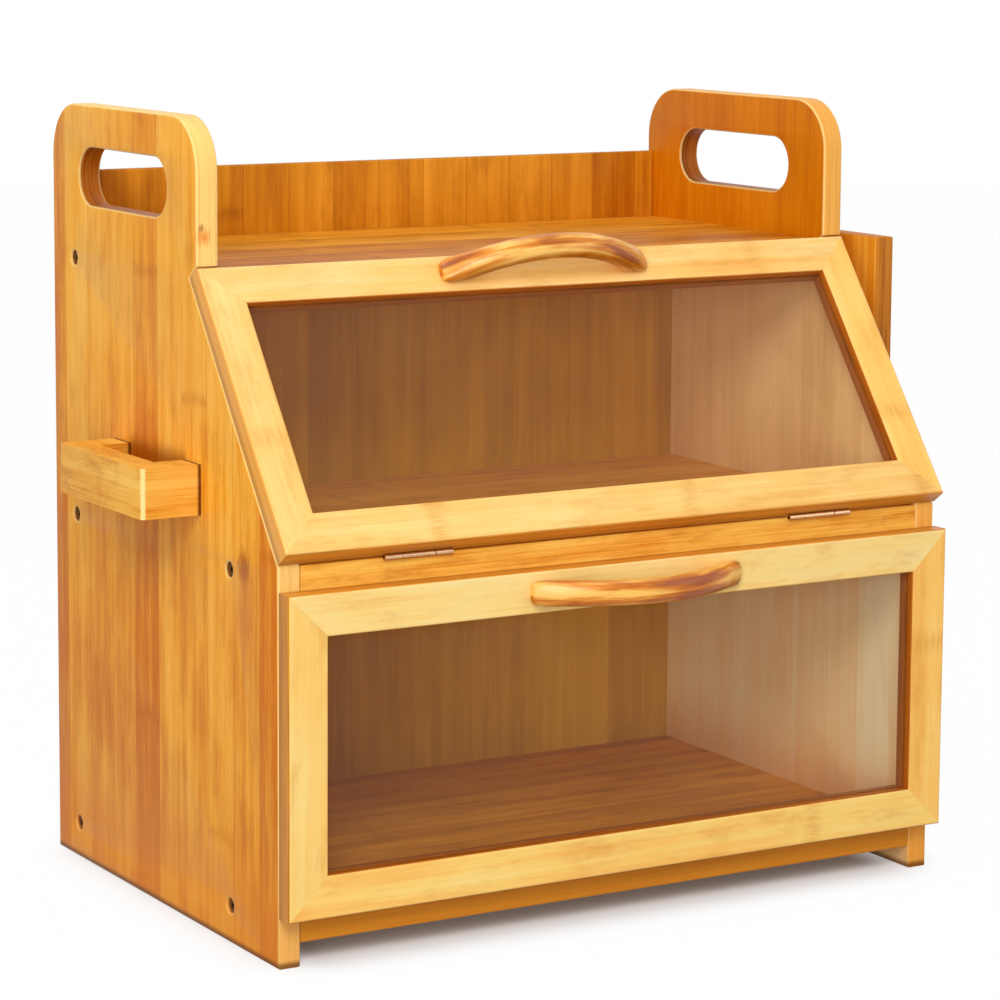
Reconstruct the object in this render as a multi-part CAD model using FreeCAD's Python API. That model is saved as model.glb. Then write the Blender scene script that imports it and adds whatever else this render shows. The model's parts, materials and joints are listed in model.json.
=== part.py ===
import FreeCAD, Part
import math
import os

# Counter-top bread box with two drop-down glazed doors, a knife holder and a board rack.
# Millimetres, +Z up, +X to the right and +Y to the back. The pieces are drawn with x = 0 at the
# middle, y = 0 at the front edge of the side panels and z = 0 on the counter, and are moved at
# the end so that the origin is under the middle of the whole object.

# Carcass
width = 400.0             # over the outsides of the side panels
depth = 268.0
height = 416.0
panel_thick = 12.5
board_thick = 12.5        # bottom board
shelf_thick = 12.5        # both shelves
edge_round = 1.2
edge_bevel = 1.0          # along the outlines of the side panels
toe_gap = 12.0            # counter to the underside of the bottom board
mid_shelf_top = 197.5
top_shelf_top = 339.0
rail_top = 202.0
rail_height = 24.0
rail_thick = 12.0
tongue = 4.0              # mid shelf into the back of the cross rail
back_face = 239.5         # y of the back panels' front face
back_thick = 5.0
groove_deep = 3.0
upstand_height = 39.0
upstand_thick = 6.0

# Ears of the side panels, with their hand holes
ear_front = 89.2
ear_radius = 28.0
hole_length = 109.0
hole_height = 31.0
hole_rise = 38.0          # top of the ear to the middle of the hand hole

# Doors, both of one size
door_height = 163.5
door_thick = 11.2
frame_wide = 22.0         # stiles and rails
door_round = 1.4          # front edges of the frame
door_back_round = 0.6
rail_round = 0.6
door_gap = 0.5            # carcass to the back of a closed door
door_lean = 36.5          # of the upper door, in degrees from upright
ledge_gap = 0.8           # over the top edge of the upper door
pane_thick = 2.5
pane_setback = 4.4        # front of the frame to the front of the pane
pane_grip = 4.0           # depth of the groove around the pane
pane_clear = 0.5          # left free at the bottom of that groove

# Butt hinges
hinge_length = 39.0
hinge_out = 122.3         # middle of the box to the middle of a hinge
barrel_radius = 1.6
pin_radius = 0.8
pin_clear = 0.1
leaf_thick = 0.9
leaf_reach = 10.5         # from the barrel's axis
leaf_offset = 0.15        # barrel's axis to the inner face of a leaf
end_knuckle = 10.0
knuckle_gap = 0.3
barrel_clear = 0.3
door_rise = 1.45          # barrel's axis to the bottom edge of the door

# Bow handles
handle_span = 126.0
handle_reach = 28.5
handle_high = 13.0
handle_bar = 11.0         # thickness at the middle
handle_foot = 16.0        # length of a foot on the door
handle_edge = 4.0         # height of a foot's end face
handle_bevel = 3.0        # along the outer arc
handle_inner_bevel = 1.5

# Magnetic catches
magnet_radius = 4.0
magnet_deep = 3.0
strike_deep = 1.5
catch_out = 150.0         # middle of the box to a catch of the lower door
catch_drop = 6.0          # top edge of the lower door to the catch's middle
upper_catch_drop = 17.0   # top edge of the upper door to the catch's middle

# Knife holder, on the left panel
holder_front = 85.0
holder_length = 102.5
holder_top = 241.0
holder_high = 26.0
holder_bar = 15.5
block_long = 18.5

# Board rack, on the right panel
rack_front = 84.0
rack_long = 150.0
rack_high = 200.0
rack_thick = 12.5
rack_spacer = 14.0
side_reach = 33.0         # both stand out this far from the panels

# Fasteners
screw_radius = 1.75
screw_head = 3.4
screw_length = 32.0
screw_sink = 1.6          # head below the panel's face
screw_inset = 27.5        # rear edge to the rear row
screw_front = 53.5        # front edge to the front row
screw_lift = 1.0          # of the two lower rows, above the middle of the board
small_radius = 0.9
small_head = 1.6
small_length = 6.0
leaf_screw_out = 12.5     # middle of a hinge to its screws
leaf_screw_share = 0.65   # barrel's axis to the screws, by the reach of the leaf
handle_screw_inset = 8.0  # end of the handle to its screw
handle_screw_length = 17.0
dowel_radius = 3.0
dowel_length = 16.0
drive_share = 0.7         # half width of the square drive, by the shank radius
drive_deep = 0.8          # depth of the drive, by the depth of the cone
screw_sides = 12
small_sides = 8
rod_sides = 12
disc_sides = 16

half = width / 2
inside = half - panel_thick
floor_top = toe_gap + board_thick
mid_shelf_under = mid_shelf_top - shelf_thick
top_shelf_under = top_shelf_top - shelf_thick
lean = math.radians(door_lean)
door_back = leaf_offset + leaf_thick          # hinge axis to the door's back face
door_front = door_thick - door_back           # hinge axis to the door's front face
door_top = door_rise + door_height
pivot_y = -door_gap - door_back
upper_pivot_z = rail_top + leaf_offset
lower_pivot_z = floor_top + leaf_offset
front_reach = door_gap + door_thick + handle_reach
origin_y = (depth - front_reach) / 2
hinge_places = {"left": -hinge_out, "right": hinge_out}

V = FreeCAD.Vector
X_AXIS = V(1, 0, 0)
nodes = {}


def box(x0, x1, y0, y1, z0, z1):
    return Part.makeBox(x1 - x0, y1 - y0, z1 - z0, V(x0, y0, z0))


def plate_yz(points, x0, x1):
    """A flat piece whose outline is a list of (y, z) points, from x0 to x1."""
    corners = [V(x0, y, z) for y, z in points]
    return Part.Face(Part.makePolygon(corners + corners[:1])).extrude(V(x1 - x0, 0, 0))


def plate_xz(points, y0, y1):
    """A flat piece whose outline is a list of (x, z) points, from y0 to y1."""
    corners = [V(x, y0, z) for x, z in points]
    return Part.Face(Part.makePolygon(corners + corners[:1])).extrude(V(0, y1 - y0, 0))


def rounded(shape, radius, wanted, along=None):
    """Rounds the edges whose two ends and middle all pass the test, or only those along a direction."""
    def passes(edge):
        points = [v.Point for v in edge.Vertexes]
        points.append(edge.valueAt((edge.FirstParameter + edge.LastParameter) / 2))
        straight = along is None or (points[0] - points[1]).cross(along).Length < 1e-6
        return straight and all(wanted(p) for p in points)
    return shape.makeFillet(radius, [e for e in shape.Edges if passes(e)])


def bevelled(shape, size, wanted):
    """Cuts a small bevel along the edges whose two ends and middle all pass the test."""
    def passes(edge):
        middle = edge.valueAt((edge.FirstParameter + edge.LastParameter) / 2)
        return all(wanted(p) for p in [v.Point for v in edge.Vertexes] + [middle])
    return shape.makeChamfer(size, [e for e in shape.Edges if passes(e)])


def near(a, b):
    return abs(a - b) < 1e-4


def turned(shape, degrees, y=0.0, z=0.0):
    """A copy turned about the X axis, then moved."""
    copy = shape.copy()
    copy.rotate(V(0, 0, 0), X_AXIS, degrees)
    copy.translate(V(0, y, z))
    return copy


def facet_rod(outline, sides):
    """A rod with flat sides. Its outline is a list of (radius, height) points from the tip up."""
    def ring(r, z):
        turn = 2 * math.pi / sides
        return [V(r * math.cos(turn * k), r * math.sin(turn * k), z) for k in range(sides)]
    rings = [ring(r, z) for r, z in outline]
    faces = [Part.Face(Part.makePolygon(loop + loop[:1])) for loop in (rings[0], rings[-1])]
    for low, high in zip(rings, rings[1:]):
        for k in range(sides):
            n = (k + 1) % sides
            faces.append(Part.Face(Part.makePolygon([low[k], low[n], high[n], high[k], low[k]])))
    rod = Part.makeSolid(Part.makeShell(faces))
    if rod.Volume < 0:
        rod.reverse()
    return rod


def aimed(shape, foot, direction):
    """A copy of an upright shape with its foot at a point, standing along a direction."""
    copy = shape.copy()
    copy.Placement = FreeCAD.Placement(foot, FreeCAD.Rotation(V(0, 0, 1), direction))
    return copy


def rod(radius, foot, direction, length, sides):
    return aimed(facet_rod([(radius, 0), (radius, length)], sides), foot, direction)


def rod_x(radius, x0, x1, y, z):
    return rod(radius, V(x0, y, z), X_AXIS, x1 - x0, rod_sides)


def screw(radius, head, length, tip, direction, sides):
    """A countersunk screw with a square drive. The direction is from its tip to its head."""
    cone = head - radius
    body = facet_rod([(radius, 0), (radius, length - cone), (head, length)], sides)
    drive = drive_share * radius
    body = body.cut(box(-drive, drive, -drive, drive, length - cone * drive_deep, length))
    return aimed(body, tip, direction)


def sunk_hole(radius, head, length, tip, direction, sides, extra):
    """The space for a screw: its shank, its cone and the hole above the head."""
    cone = head - radius
    outline = [(radius, 0), (radius, length - cone), (head, length), (head, length + extra)]
    return aimed(facet_rod(outline, sides), tip, direction)


def slope_point(along, behind):
    """A (y, z) point by its distance along the upper door from its hinge, and behind that line."""
    y = pivot_y + along * math.sin(lean) + behind * math.cos(lean)
    z = upper_pivot_z + along * math.cos(lean) - behind * math.sin(lean)
    return y, z


def door_seat_line():
    """The knee, the inner corner and the ledge's tip of the edge that the upper door closes on."""
    behind = door_back + door_gap
    knee = (-pivot_y - behind * math.cos(lean)) / math.sin(lean)
    top = door_top + ledge_gap
    return knee, top, behind


def screw_rows():
    """(y, z) of the screws through a side panel."""
    rear = depth - screw_inset
    bottom = floor_top - board_thick / 2 + screw_lift
    middle = mid_shelf_top - shelf_thick / 2 + screw_lift
    top = top_shelf_top - shelf_thick / 2
    return [(rear, top), (rear, middle), (rear, bottom), (screw_front, middle), (screw_front, bottom)]


def panel_screw_tip(side, y, z):
    return V(side * (half - screw_sink - screw_length), y, z)


def back_groove_cutter():
    """The space of the groove for the back panels, through both side panels."""
    reach = inside + groove_deep
    low, high = floor_top - groove_deep, top_shelf_under + groove_deep
    return box(-reach, reach, back_face, back_face + back_thick, low, high)


def upper_catch_cutter(side, deep):
    """A magnet let into the sloping front edge of a side panel."""
    x = side * (half - panel_thick / 2)
    start = door_back + door_gap
    y, z = slope_point(door_top - upper_catch_drop, start)
    inwards = V(0, math.cos(lean), -math.sin(lean))
    return rod(magnet_radius, V(x, y, z), inwards, deep, disc_sides)


def lower_catch_cutter(side, deep):
    z = lower_pivot_z + door_top - catch_drop
    return rod(magnet_radius, V(side * catch_out, 0, z), V(0, 1, 0), deep, disc_sides)


def side_panel(side):
    knee, top, behind = door_seat_line()
    knee_point = (0, slope_point(knee, behind)[1])
    corner = slope_point(top, behind)
    out = (pivot_y + top * math.sin(lean) - ear_front) / math.cos(lean)
    ledge = slope_point(top, -out)
    outline = [(0, 0), knee_point, corner, ledge, (ear_front, height), (depth, height), (depth, 0)]
    x0, x1 = sorted((side * inside, side * half))
    panel = plate_yz(outline, x0, x1)
    panel = rounded(panel, ear_radius, lambda p: near(p.z, height), along=X_AXIS)
    panel = panel.cut(hand_hole(x0, x1))
    panel = bevelled(panel, edge_bevel, lambda p: near(p.x, x0))
    panel = bevelled(panel, edge_bevel, lambda p: near(p.x, x1))
    panel = panel.cut(back_groove_cutter()).cut(upper_catch_cutter(side, magnet_deep))
    for y, z in screw_rows():
        tip = panel_screw_tip(side, y, z)
        panel = panel.cut(sunk_hole(screw_radius, screw_head, screw_length, tip, V(side, 0, 0),
                                    screw_sides, screw_sink + 1))
    return panel


def hand_hole(x0, x1):
    """An obround through the ear, from x0 to x1."""
    y = (ear_front + depth) / 2
    z = height - hole_rise
    r = hole_height / 2
    run = hole_length / 2 - r
    hole = box(x0, x1, y - run, y + run, z - r, z + r)
    for end in (y - run, y + run):
        hole = hole.fuse(Part.makeCylinder(r, x1 - x0, V(x0, end, z), X_AXIS))
    return hole.removeSplitter()


def panel_screws(side):
    """Five screws that hold one side panel to the boards."""
    made = [screw(screw_radius, screw_head, screw_length, panel_screw_tip(side, y, z), V(side, 0, 0),
                  screw_sides) for y, z in screw_rows()]
    return Part.makeCompound(made)


def drilled(board):
    """A board with the holes for the panels' screws in its ends."""
    for side in (-1, 1):
        for y, z in screw_rows():
            tip = panel_screw_tip(side, y, z)
            board = board.cut(rod(screw_radius, tip, V(side, 0, 0), screw_length, screw_sides))
    return board


def let_in(board, z):
    """A board with both hinges of a door let into the front of its top, with their axis at height z."""
    reach = hinge_length / 2
    for x in hinge_places.values():
        seat = box(x - reach, x + reach, pivot_y, pivot_y + leaf_reach, z - door_back, z - leaf_offset)
        board = board.cut(seat).cut(barrel_room(x, pivot_y, z)).cut(leaf_screw_holes(x, pivot_y, z, 0))
    return board


def bottom_board():
    board = box(-inside, inside, 0, depth, toe_gap, floor_top)
    board = rounded(board, edge_round, lambda p: near(p.y, 0), along=X_AXIS)
    return let_in(drilled(board.cut(back_groove_cutter())), lower_pivot_z)


def mid_shelf():
    mid = rail_top - rail_height / 2
    board = box(-inside, inside, rail_thick, depth, mid_shelf_under, mid_shelf_top)
    low, high = mid - tongue / 2, mid + tongue / 2
    board = board.fuse(box(-inside, inside, rail_thick - tongue, rail_thick, low, high))
    groove = box(-inside, inside, back_face, back_face + back_thick, mid_shelf_under, mid_shelf_top)
    keep = box(-inside, inside, 0, depth, mid_shelf_under + groove_deep, mid_shelf_top - groove_deep)
    return drilled(board.removeSplitter().cut(groove.cut(keep)))


def cross_rail():
    mid = rail_top - rail_height / 2
    rail = box(-inside, inside, 0, rail_thick, rail_top - rail_height, rail_top)
    rail = rounded(rail, rail_round, lambda p: near(p.y, 0), along=X_AXIS)
    rail = rail.cut(box(-inside, inside, rail_thick - tongue, rail_thick, mid - tongue / 2, mid + tongue / 2))
    for side in (-1, 1):
        rail = rail.cut(lower_catch_cutter(side, magnet_deep))
    return let_in(rail, upper_pivot_z)


def top_shelf():
    """The top shelf, whose front edge is cut to the back and the top edge of the upper door."""
    _, top, behind = door_seat_line()
    corner = slope_point(top, behind)
    low = corner[0] - (corner[1] - top_shelf_under) * math.tan(lean)
    high = corner[0] - (top_shelf_top - corner[1]) / math.tan(lean)
    rear = depth - upstand_thick
    outline = [(low, top_shelf_under), corner, (high, top_shelf_top), (rear, top_shelf_top),
               (rear, top_shelf_under)]
    return drilled(plate_yz(outline, -inside, inside).cut(back_groove_cutter()))


def back_panel(low, high):
    reach = inside + groove_deep
    return box(-reach, reach, back_face, back_face + back_thick, low - groove_deep, high + groove_deep)


def upstand():
    """The board behind the top shelf, which stands up between the ears."""
    top = top_shelf_top + upstand_height
    board = box(-inside, inside, depth - upstand_thick, depth, top_shelf_under, top)
    return rounded(board, edge_round, lambda p: near(p.z, top) and
                   (near(p.y, depth) or near(p.y, depth - upstand_thick)))


# Doors. Each is drawn upright around its hinge axis: y = 0 and z = 0 are the axis.

def pane_space(grip):
    """The pane, or with the full grip the groove that holds it."""
    x = half - frame_wide + grip
    low, high = door_rise + frame_wide - grip, door_top - frame_wide + grip
    front = -door_front + pane_setback
    return box(-x, x, front, front + pane_thick, low, high)


def door_blank():
    """The whole frame in one piece: a slab with its window, rounded all round."""
    slab = box(-half, half, -door_front, door_back, door_rise, door_top)
    slab = rounded(slab, door_round, lambda p: near(p.y, -door_front))
    slab = rounded(slab, door_back_round, lambda p: near(p.y, door_back))
    x, low, high = half - frame_wide, door_rise + frame_wide, door_top - frame_wide
    slab = slab.cut(box(-x, x, -door_front, door_back, low, high))
    slab = rounded(slab, door_round, lambda p: near(p.y, -door_front) and abs(p.x) < x + 0.1 and
                   low - 0.1 < p.z < high + 0.1)
    return slab.cut(pane_space(pane_grip))


def frame_piece(outline):
    """One mitred stile or rail: the part of the blank inside its own outline."""
    return door_blank().common(plate_xz(outline, -door_front, door_back))


def stile(side):
    outer, inner = side * half, side * (half - frame_wide)
    return frame_piece([(outer, door_rise), (inner, door_rise + frame_wide),
                        (inner, door_top - frame_wide), (outer, door_top)])


def door_rail(z_outer, z_inner):
    return frame_piece([(-half, z_outer), (half, z_outer), (half - frame_wide, z_inner),
                        (frame_wide - half, z_inner)])


def bottom_rail():
    rail = door_rail(door_rise, door_rise + frame_wide)
    for x in hinge_places.values():
        recess = box(x - hinge_length / 2, x + hinge_length / 2, leaf_offset, door_back, 0, leaf_reach)
        rail = rail.cut(recess).cut(barrel_room(x, 0, 0)).cut(leaf_screw_holes(x, 0, 0, 90))
    return rail


def top_rail():
    rail = door_rail(door_top, door_top - frame_wide)
    for tip in handle_screw_tips():
        rail = rail.cut(sunk_hole(screw_radius, screw_head, handle_screw_length, tip, V(0, 1, 0),
                                  screw_sides, 1))
    return rail


def strike(x, drop):
    """A steel disc let into the back of a closed door."""
    foot = V(x, door_back - strike_deep, door_top - drop)
    return rod(magnet_radius, foot, V(0, 1, 0), strike_deep, disc_sides)


def handle_screw_tips():
    z = door_top - frame_wide / 2
    x = handle_span / 2 - handle_screw_inset
    return [V(s * x, door_back - handle_screw_length, z) for s in (-1, 1)]


def handle_screws():
    made = [screw(screw_radius, screw_head, handle_screw_length, tip, V(0, 1, 0), screw_sides)
            for tip in handle_screw_tips()]
    return Part.makeCompound(made)


def handle():
    """A bow handle: an arched bar between two arcs, flat where its feet meet the door."""
    end, inner = handle_span / 2, handle_span / 2 - handle_foot
    z = door_top - frame_wide / 2 - handle_high / 2
    face = -door_front

    def at(x, out):
        return V(x, face - out, z)
    outer_arc = Part.Arc(at(-end, handle_edge), at(0, handle_reach), at(end, handle_edge)).toShape()
    inner_arc = Part.Arc(at(inner, 0), at(0, handle_reach - handle_bar), at(-inner, 0)).toShape()
    sides = [Part.makeLine(at(end, handle_edge), at(end, 0)), Part.makeLine(at(end, 0), at(inner, 0)),
             Part.makeLine(at(-inner, 0), at(-end, 0)), Part.makeLine(at(-end, 0), at(-end, handle_edge))]
    wire = Part.Wire([outer_arc, sides[0], sides[1], inner_arc, sides[2], sides[3]])
    bar = Part.Face(wire).extrude(V(0, 0, handle_high))

    def long_edges(shape, middle_out):
        """The two edges along an arc, told by how far out their middle is."""
        found = []
        for e in shape.Edges:
            m = e.valueAt((e.FirstParameter + e.LastParameter) / 2)
            if near(m.x, 0) and near(face - m.y, middle_out):
                found.append(e)
        return found
    bar = bar.makeChamfer(handle_bevel, long_edges(bar, handle_reach))
    bar = bar.makeChamfer(handle_inner_bevel, long_edges(bar, handle_reach - handle_bar))
    for tip in handle_screw_tips():
        bar = bar.cut(rod(screw_radius, tip, V(0, 1, 0), handle_screw_length, screw_sides))
    return bar


# Hinges. A leaf is drawn flat towards +Y from the barrel's axis, with its face just under it.

def barrel_room(x, y, z):
    """The room that the wood leaves around a barrel."""
    reach = hinge_length / 2
    return rod_x(barrel_radius + barrel_clear, x - reach, x + reach, y, z)


def leaf_screw_places(x):
    y = leaf_reach * leaf_screw_share
    return [V(x + s * leaf_screw_out, y, -leaf_offset - small_length) for s in (-1, 1)]


def leaf_screw_holes(x, y, z, angle):
    holes = [sunk_hole(small_radius, small_head, small_length, tip, V(0, 0, 1), small_sides, 1)
             for tip in leaf_screw_places(x)]
    return turned(Part.makeCompound(holes), angle, y, z)


def leaf_screws(x, y, z, angle):
    made = [screw(small_radius, small_head, small_length, tip, V(0, 0, 1), small_sides)
            for tip in leaf_screw_places(x)]
    return turned(Part.makeCompound(made), angle, y, z)


def hinge_leaf(x, on_door):
    """One leaf with its knuckles: the middle knuckle on the door, the two end ones on the carcass."""
    low, high = x - hinge_length / 2, x + hinge_length / 2
    middle = (low + end_knuckle + knuckle_gap, high - end_knuckle - knuckle_gap)
    ends = [(low, low + end_knuckle), (high - end_knuckle, high)]
    back = barrel_radius + barrel_clear
    leaf = box(low, high, back, leaf_reach, -leaf_offset - leaf_thick, -leaf_offset)
    for x0, x1 in [middle] if on_door else ends:
        leaf = leaf.fuse(box(x0, x1, 0, back, -leaf_offset - leaf_thick, -leaf_offset))
        leaf = leaf.fuse(rod_x(barrel_radius, x0, x1, 0, 0))
    leaf = leaf.cut(rod_x(pin_radius + pin_clear, low, high, 0, 0))
    return leaf.cut(leaf_screw_holes(x, 0, 0, 0)).removeSplitter()


def hinge_pin(x):
    return Part.makeCylinder(pin_radius, hinge_length, V(x - hinge_length / 2, 0, 0), X_AXIS)


def add_door(name, y, z, angle, fixed_screws):
    """All the pieces of one door with its hinges, turned back by the angle around its hinge axis."""
    catch_x = half - panel_thick / 2 if name == "upper" else catch_out
    drop = upper_catch_drop if name == "upper" else catch_drop
    strikes = Part.makeCompound([strike(s * catch_x, drop) for s in (-1, 1)])
    made = {"left_stile": stile(-1).cut(strikes), "right_stile": stile(1).cut(strikes),
            "top_rail": top_rail().cut(strikes), "bottom_rail": bottom_rail(),
            "pane": pane_space(pane_grip - pane_clear), "handle": handle(),
            "handle_screws": handle_screws(), "strike_plates": strikes}
    for piece, shape in made.items():
        nodes[f"{name}_door_{piece}"] = turned(shape, -angle, y, z)
    door_screws = []
    for place, x in hinge_places.items():
        nodes[f"{name}_{place}_hinge_door_leaf"] = turned(hinge_leaf(x, True), 90 - angle, y, z)
        nodes[f"{name}_{place}_hinge_fixed_leaf"] = turned(hinge_leaf(x, False), 0, y, z)
        nodes[f"{name}_{place}_hinge_pin"] = turned(hinge_pin(x), 0, y, z)
        door_screws += leaf_screws(x, y, z, 90 - angle).Solids
        fixed_screws += leaf_screws(x, y, z, 0).Solids
    nodes[f"{name}_door_hinge_screws"] = Part.makeCompound(door_screws)


def mitred_end(points, z0, z1):
    """The room of one end block, whose outline is a list of (x, y) points."""
    corners = [V(x, y, z0) for x, y in points]
    return Part.Face(Part.makePolygon(corners + corners[:1])).extrude(V(0, 0, z1 - z0))


def add_knife_holder():
    """A bar mitred to two end blocks, which leave a slot beside the left panel."""
    x0, x1, x2 = -half - side_reach, -half - side_reach + holder_bar, -half
    y0, y1 = holder_front, holder_front + holder_length
    z0, z1 = holder_top - holder_high, holder_top
    low, high = y0 + block_long, y1 - block_long
    whole = rounded(box(x0, x2, y0, y1, z0, z1), edge_round, lambda p: near(p.x, x0))
    ends = {"front": mitred_end([(x0, y0), (x2, y0), (x2, low), (x1, low)], z0, z1),
            "rear": mitred_end([(x0, y1), (x1, high), (x2, high), (x2, y1)], z0, z1)}
    middles = {"front": (y0 + low) / 2, "rear": (high + y1) / 2}
    bar = whole.cut(box(x1, x2, low, high, z0, z1))
    dowels = []
    for place, end in ends.items():
        dowel = rod_x(dowel_radius, x2 - dowel_length / 2, x2 + dowel_length / 2, middles[place],
                      (z0 + z1) / 2)
        dowels.append(dowel)
        nodes[f"knife_holder_{place}_block"] = whole.common(end).cut(dowel)
        bar = bar.cut(end)
    nodes["knife_holder_bar"] = bar
    nodes["knife_holder_dowels"] = Part.makeCompound(dowels)
    nodes["side_panel_left"] = nodes["side_panel_left"].cut(nodes["knife_holder_dowels"])


def add_board_rack():
    """An outer board on a bottom ledge and a rear strip, open at the top and the front."""
    x0, x1, x2 = half, half + side_reach - rack_thick, half + side_reach
    y0, y1 = rack_front, rack_front + rack_long
    z0, z1 = top_shelf_top - rack_high, top_shelf_top
    outer = rounded(box(x1, x2, y0, y1, z0, z1), edge_round, lambda p: near(p.x, x2))
    ledge = box(x0, x1, y0, y1, z0, z0 + rack_spacer)
    strip = box(x0, x1, y1 - rack_spacer, y1, z0 + rack_spacer, z1)
    mid_z = z0 + rack_spacer / 2
    mid_y = y1 - rack_spacer / 2
    places = [(y0 + rack_long / 6, mid_z), (y1 - rack_long / 4, mid_z),
              (mid_y, z0 + rack_high / 3), (mid_y, z1 - rack_high / 6)]
    dowels = [rod_x(dowel_radius, x0 - dowel_length / 2, x0 + dowel_length / 2, y, z) for y, z in places]
    nodes["board_rack_dowels"] = Part.makeCompound(dowels)
    nodes["board_rack_outer_board"] = outer
    nodes["board_rack_ledge"] = ledge.cut(nodes["board_rack_dowels"])
    nodes["board_rack_rear_strip"] = strip.cut(nodes["board_rack_dowels"])
    nodes["side_panel_right"] = nodes["side_panel_right"].cut(nodes["board_rack_dowels"])


def add_carcass():
    nodes["side_panel_left"] = side_panel(-1)
    nodes["side_panel_right"] = side_panel(1)
    nodes["bottom_board"] = bottom_board()
    nodes["mid_shelf"] = mid_shelf()
    nodes["cross_rail"] = cross_rail()
    nodes["top_shelf"] = top_shelf()
    nodes["back_panel_lower"] = back_panel(floor_top, mid_shelf_under)
    nodes["back_panel_upper"] = back_panel(mid_shelf_top, top_shelf_under)
    nodes["upstand"] = upstand()
    nodes["panel_screws_left"] = panel_screws(-1)
    nodes["panel_screws_right"] = panel_screws(1)
    nodes["upper_catch_magnets"] = Part.makeCompound([upper_catch_cutter(s, magnet_deep) for s in (-1, 1)])
    nodes["lower_catch_magnets"] = Part.makeCompound([lower_catch_cutter(s, magnet_deep) for s in (-1, 1)])


def main():
    add_carcass()
    add_knife_holder()
    add_board_rack()
    fixed_screws = []
    add_door("upper", pivot_y, upper_pivot_z, door_lean, fixed_screws)
    add_door("lower", pivot_y, lower_pivot_z, 0.0, fixed_screws)
    nodes["carcass_hinge_screws"] = Part.makeCompound(fixed_screws)
    os.makedirs("parts", exist_ok=True)
    for name, shape in nodes.items():
        shape.translate(V(0, -origin_y, 0))
        shape.exportStep(f"parts/{name}.step")
    print(len(nodes), "nodes, hinge axes at y", pivot_y - origin_y, "z", upper_pivot_z, lower_pivot_z)


main()
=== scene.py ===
"""Bread box with two drop-down glazed doors, a knife holder and a board rack.

Each sub-assembly of the box is a class. It holds its sizes in metres, makes the pieces that need a
finer mesh than the frame's solids, and gives every piece its finish.
"""

from __future__ import annotations

import json
import logging
import math
from dataclasses import dataclass, field, replace
from enum import Enum
from typing import Iterable, Sequence, Union

import bmesh
import bpy
from mathutils import Matrix, Vector

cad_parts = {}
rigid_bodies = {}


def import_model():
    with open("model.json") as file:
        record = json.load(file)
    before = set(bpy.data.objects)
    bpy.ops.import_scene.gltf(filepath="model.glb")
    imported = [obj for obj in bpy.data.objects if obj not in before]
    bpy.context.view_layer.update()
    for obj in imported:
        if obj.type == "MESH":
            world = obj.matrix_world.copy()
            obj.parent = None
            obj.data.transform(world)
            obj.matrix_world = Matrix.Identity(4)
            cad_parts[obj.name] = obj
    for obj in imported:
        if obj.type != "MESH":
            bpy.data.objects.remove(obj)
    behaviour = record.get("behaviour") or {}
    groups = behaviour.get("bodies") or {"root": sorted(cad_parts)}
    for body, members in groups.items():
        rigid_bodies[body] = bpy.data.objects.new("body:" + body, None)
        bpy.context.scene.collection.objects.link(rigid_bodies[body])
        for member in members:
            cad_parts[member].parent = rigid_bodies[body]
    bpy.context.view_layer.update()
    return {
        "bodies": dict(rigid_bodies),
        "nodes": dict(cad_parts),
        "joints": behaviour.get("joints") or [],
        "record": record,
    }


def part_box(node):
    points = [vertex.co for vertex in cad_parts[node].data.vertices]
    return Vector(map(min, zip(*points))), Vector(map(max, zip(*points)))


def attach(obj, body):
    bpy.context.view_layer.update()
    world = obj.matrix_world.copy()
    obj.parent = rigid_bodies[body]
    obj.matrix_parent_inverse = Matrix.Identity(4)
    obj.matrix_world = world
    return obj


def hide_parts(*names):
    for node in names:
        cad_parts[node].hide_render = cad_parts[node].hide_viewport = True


LOG = logging.getLogger("bread_box")
MM = 0.001
MM_IN_M = 1000.0
Colour = tuple[float, float, float]
Number = Union[float, "Field"]


def tint(red: int, green: int, blue: int) -> Colour:
    """Turns a colour written as it looks on a screen into scene light.

    Args:
        red: Red, 0 to 255.
        green: Green, 0 to 255.
        blue: Blue, 0 to 255.

    Returns:
        The same colour as linear red, green and blue.
    """
    parts = [c / 255 for c in (red, green, blue)]
    return tuple(c / 12.92 if c <= 0.04045 else ((c + 0.055) / 1.055) ** 2.4 for c in parts)


class Axis(Enum):
    """An axis of a piece: along the box, towards its back, or up."""

    X = 0
    Y = 1
    Z = 2


class Side(Enum):
    """A side of the box, by the sign of its x."""

    LEFT = -1
    RIGHT = 1


class Zone(Enum):
    """What a face of a side panel is part of, by the number of its material."""

    PANEL = 0
    HAND_HOLE = 1
    SCREW_HOLE = 2


class Leaf(Enum):
    """A leaf of a butt hinge, by the end of its node's name."""

    DOOR = "door_leaf"
    FIXED = "fixed_leaf"


# Shader maths


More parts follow.
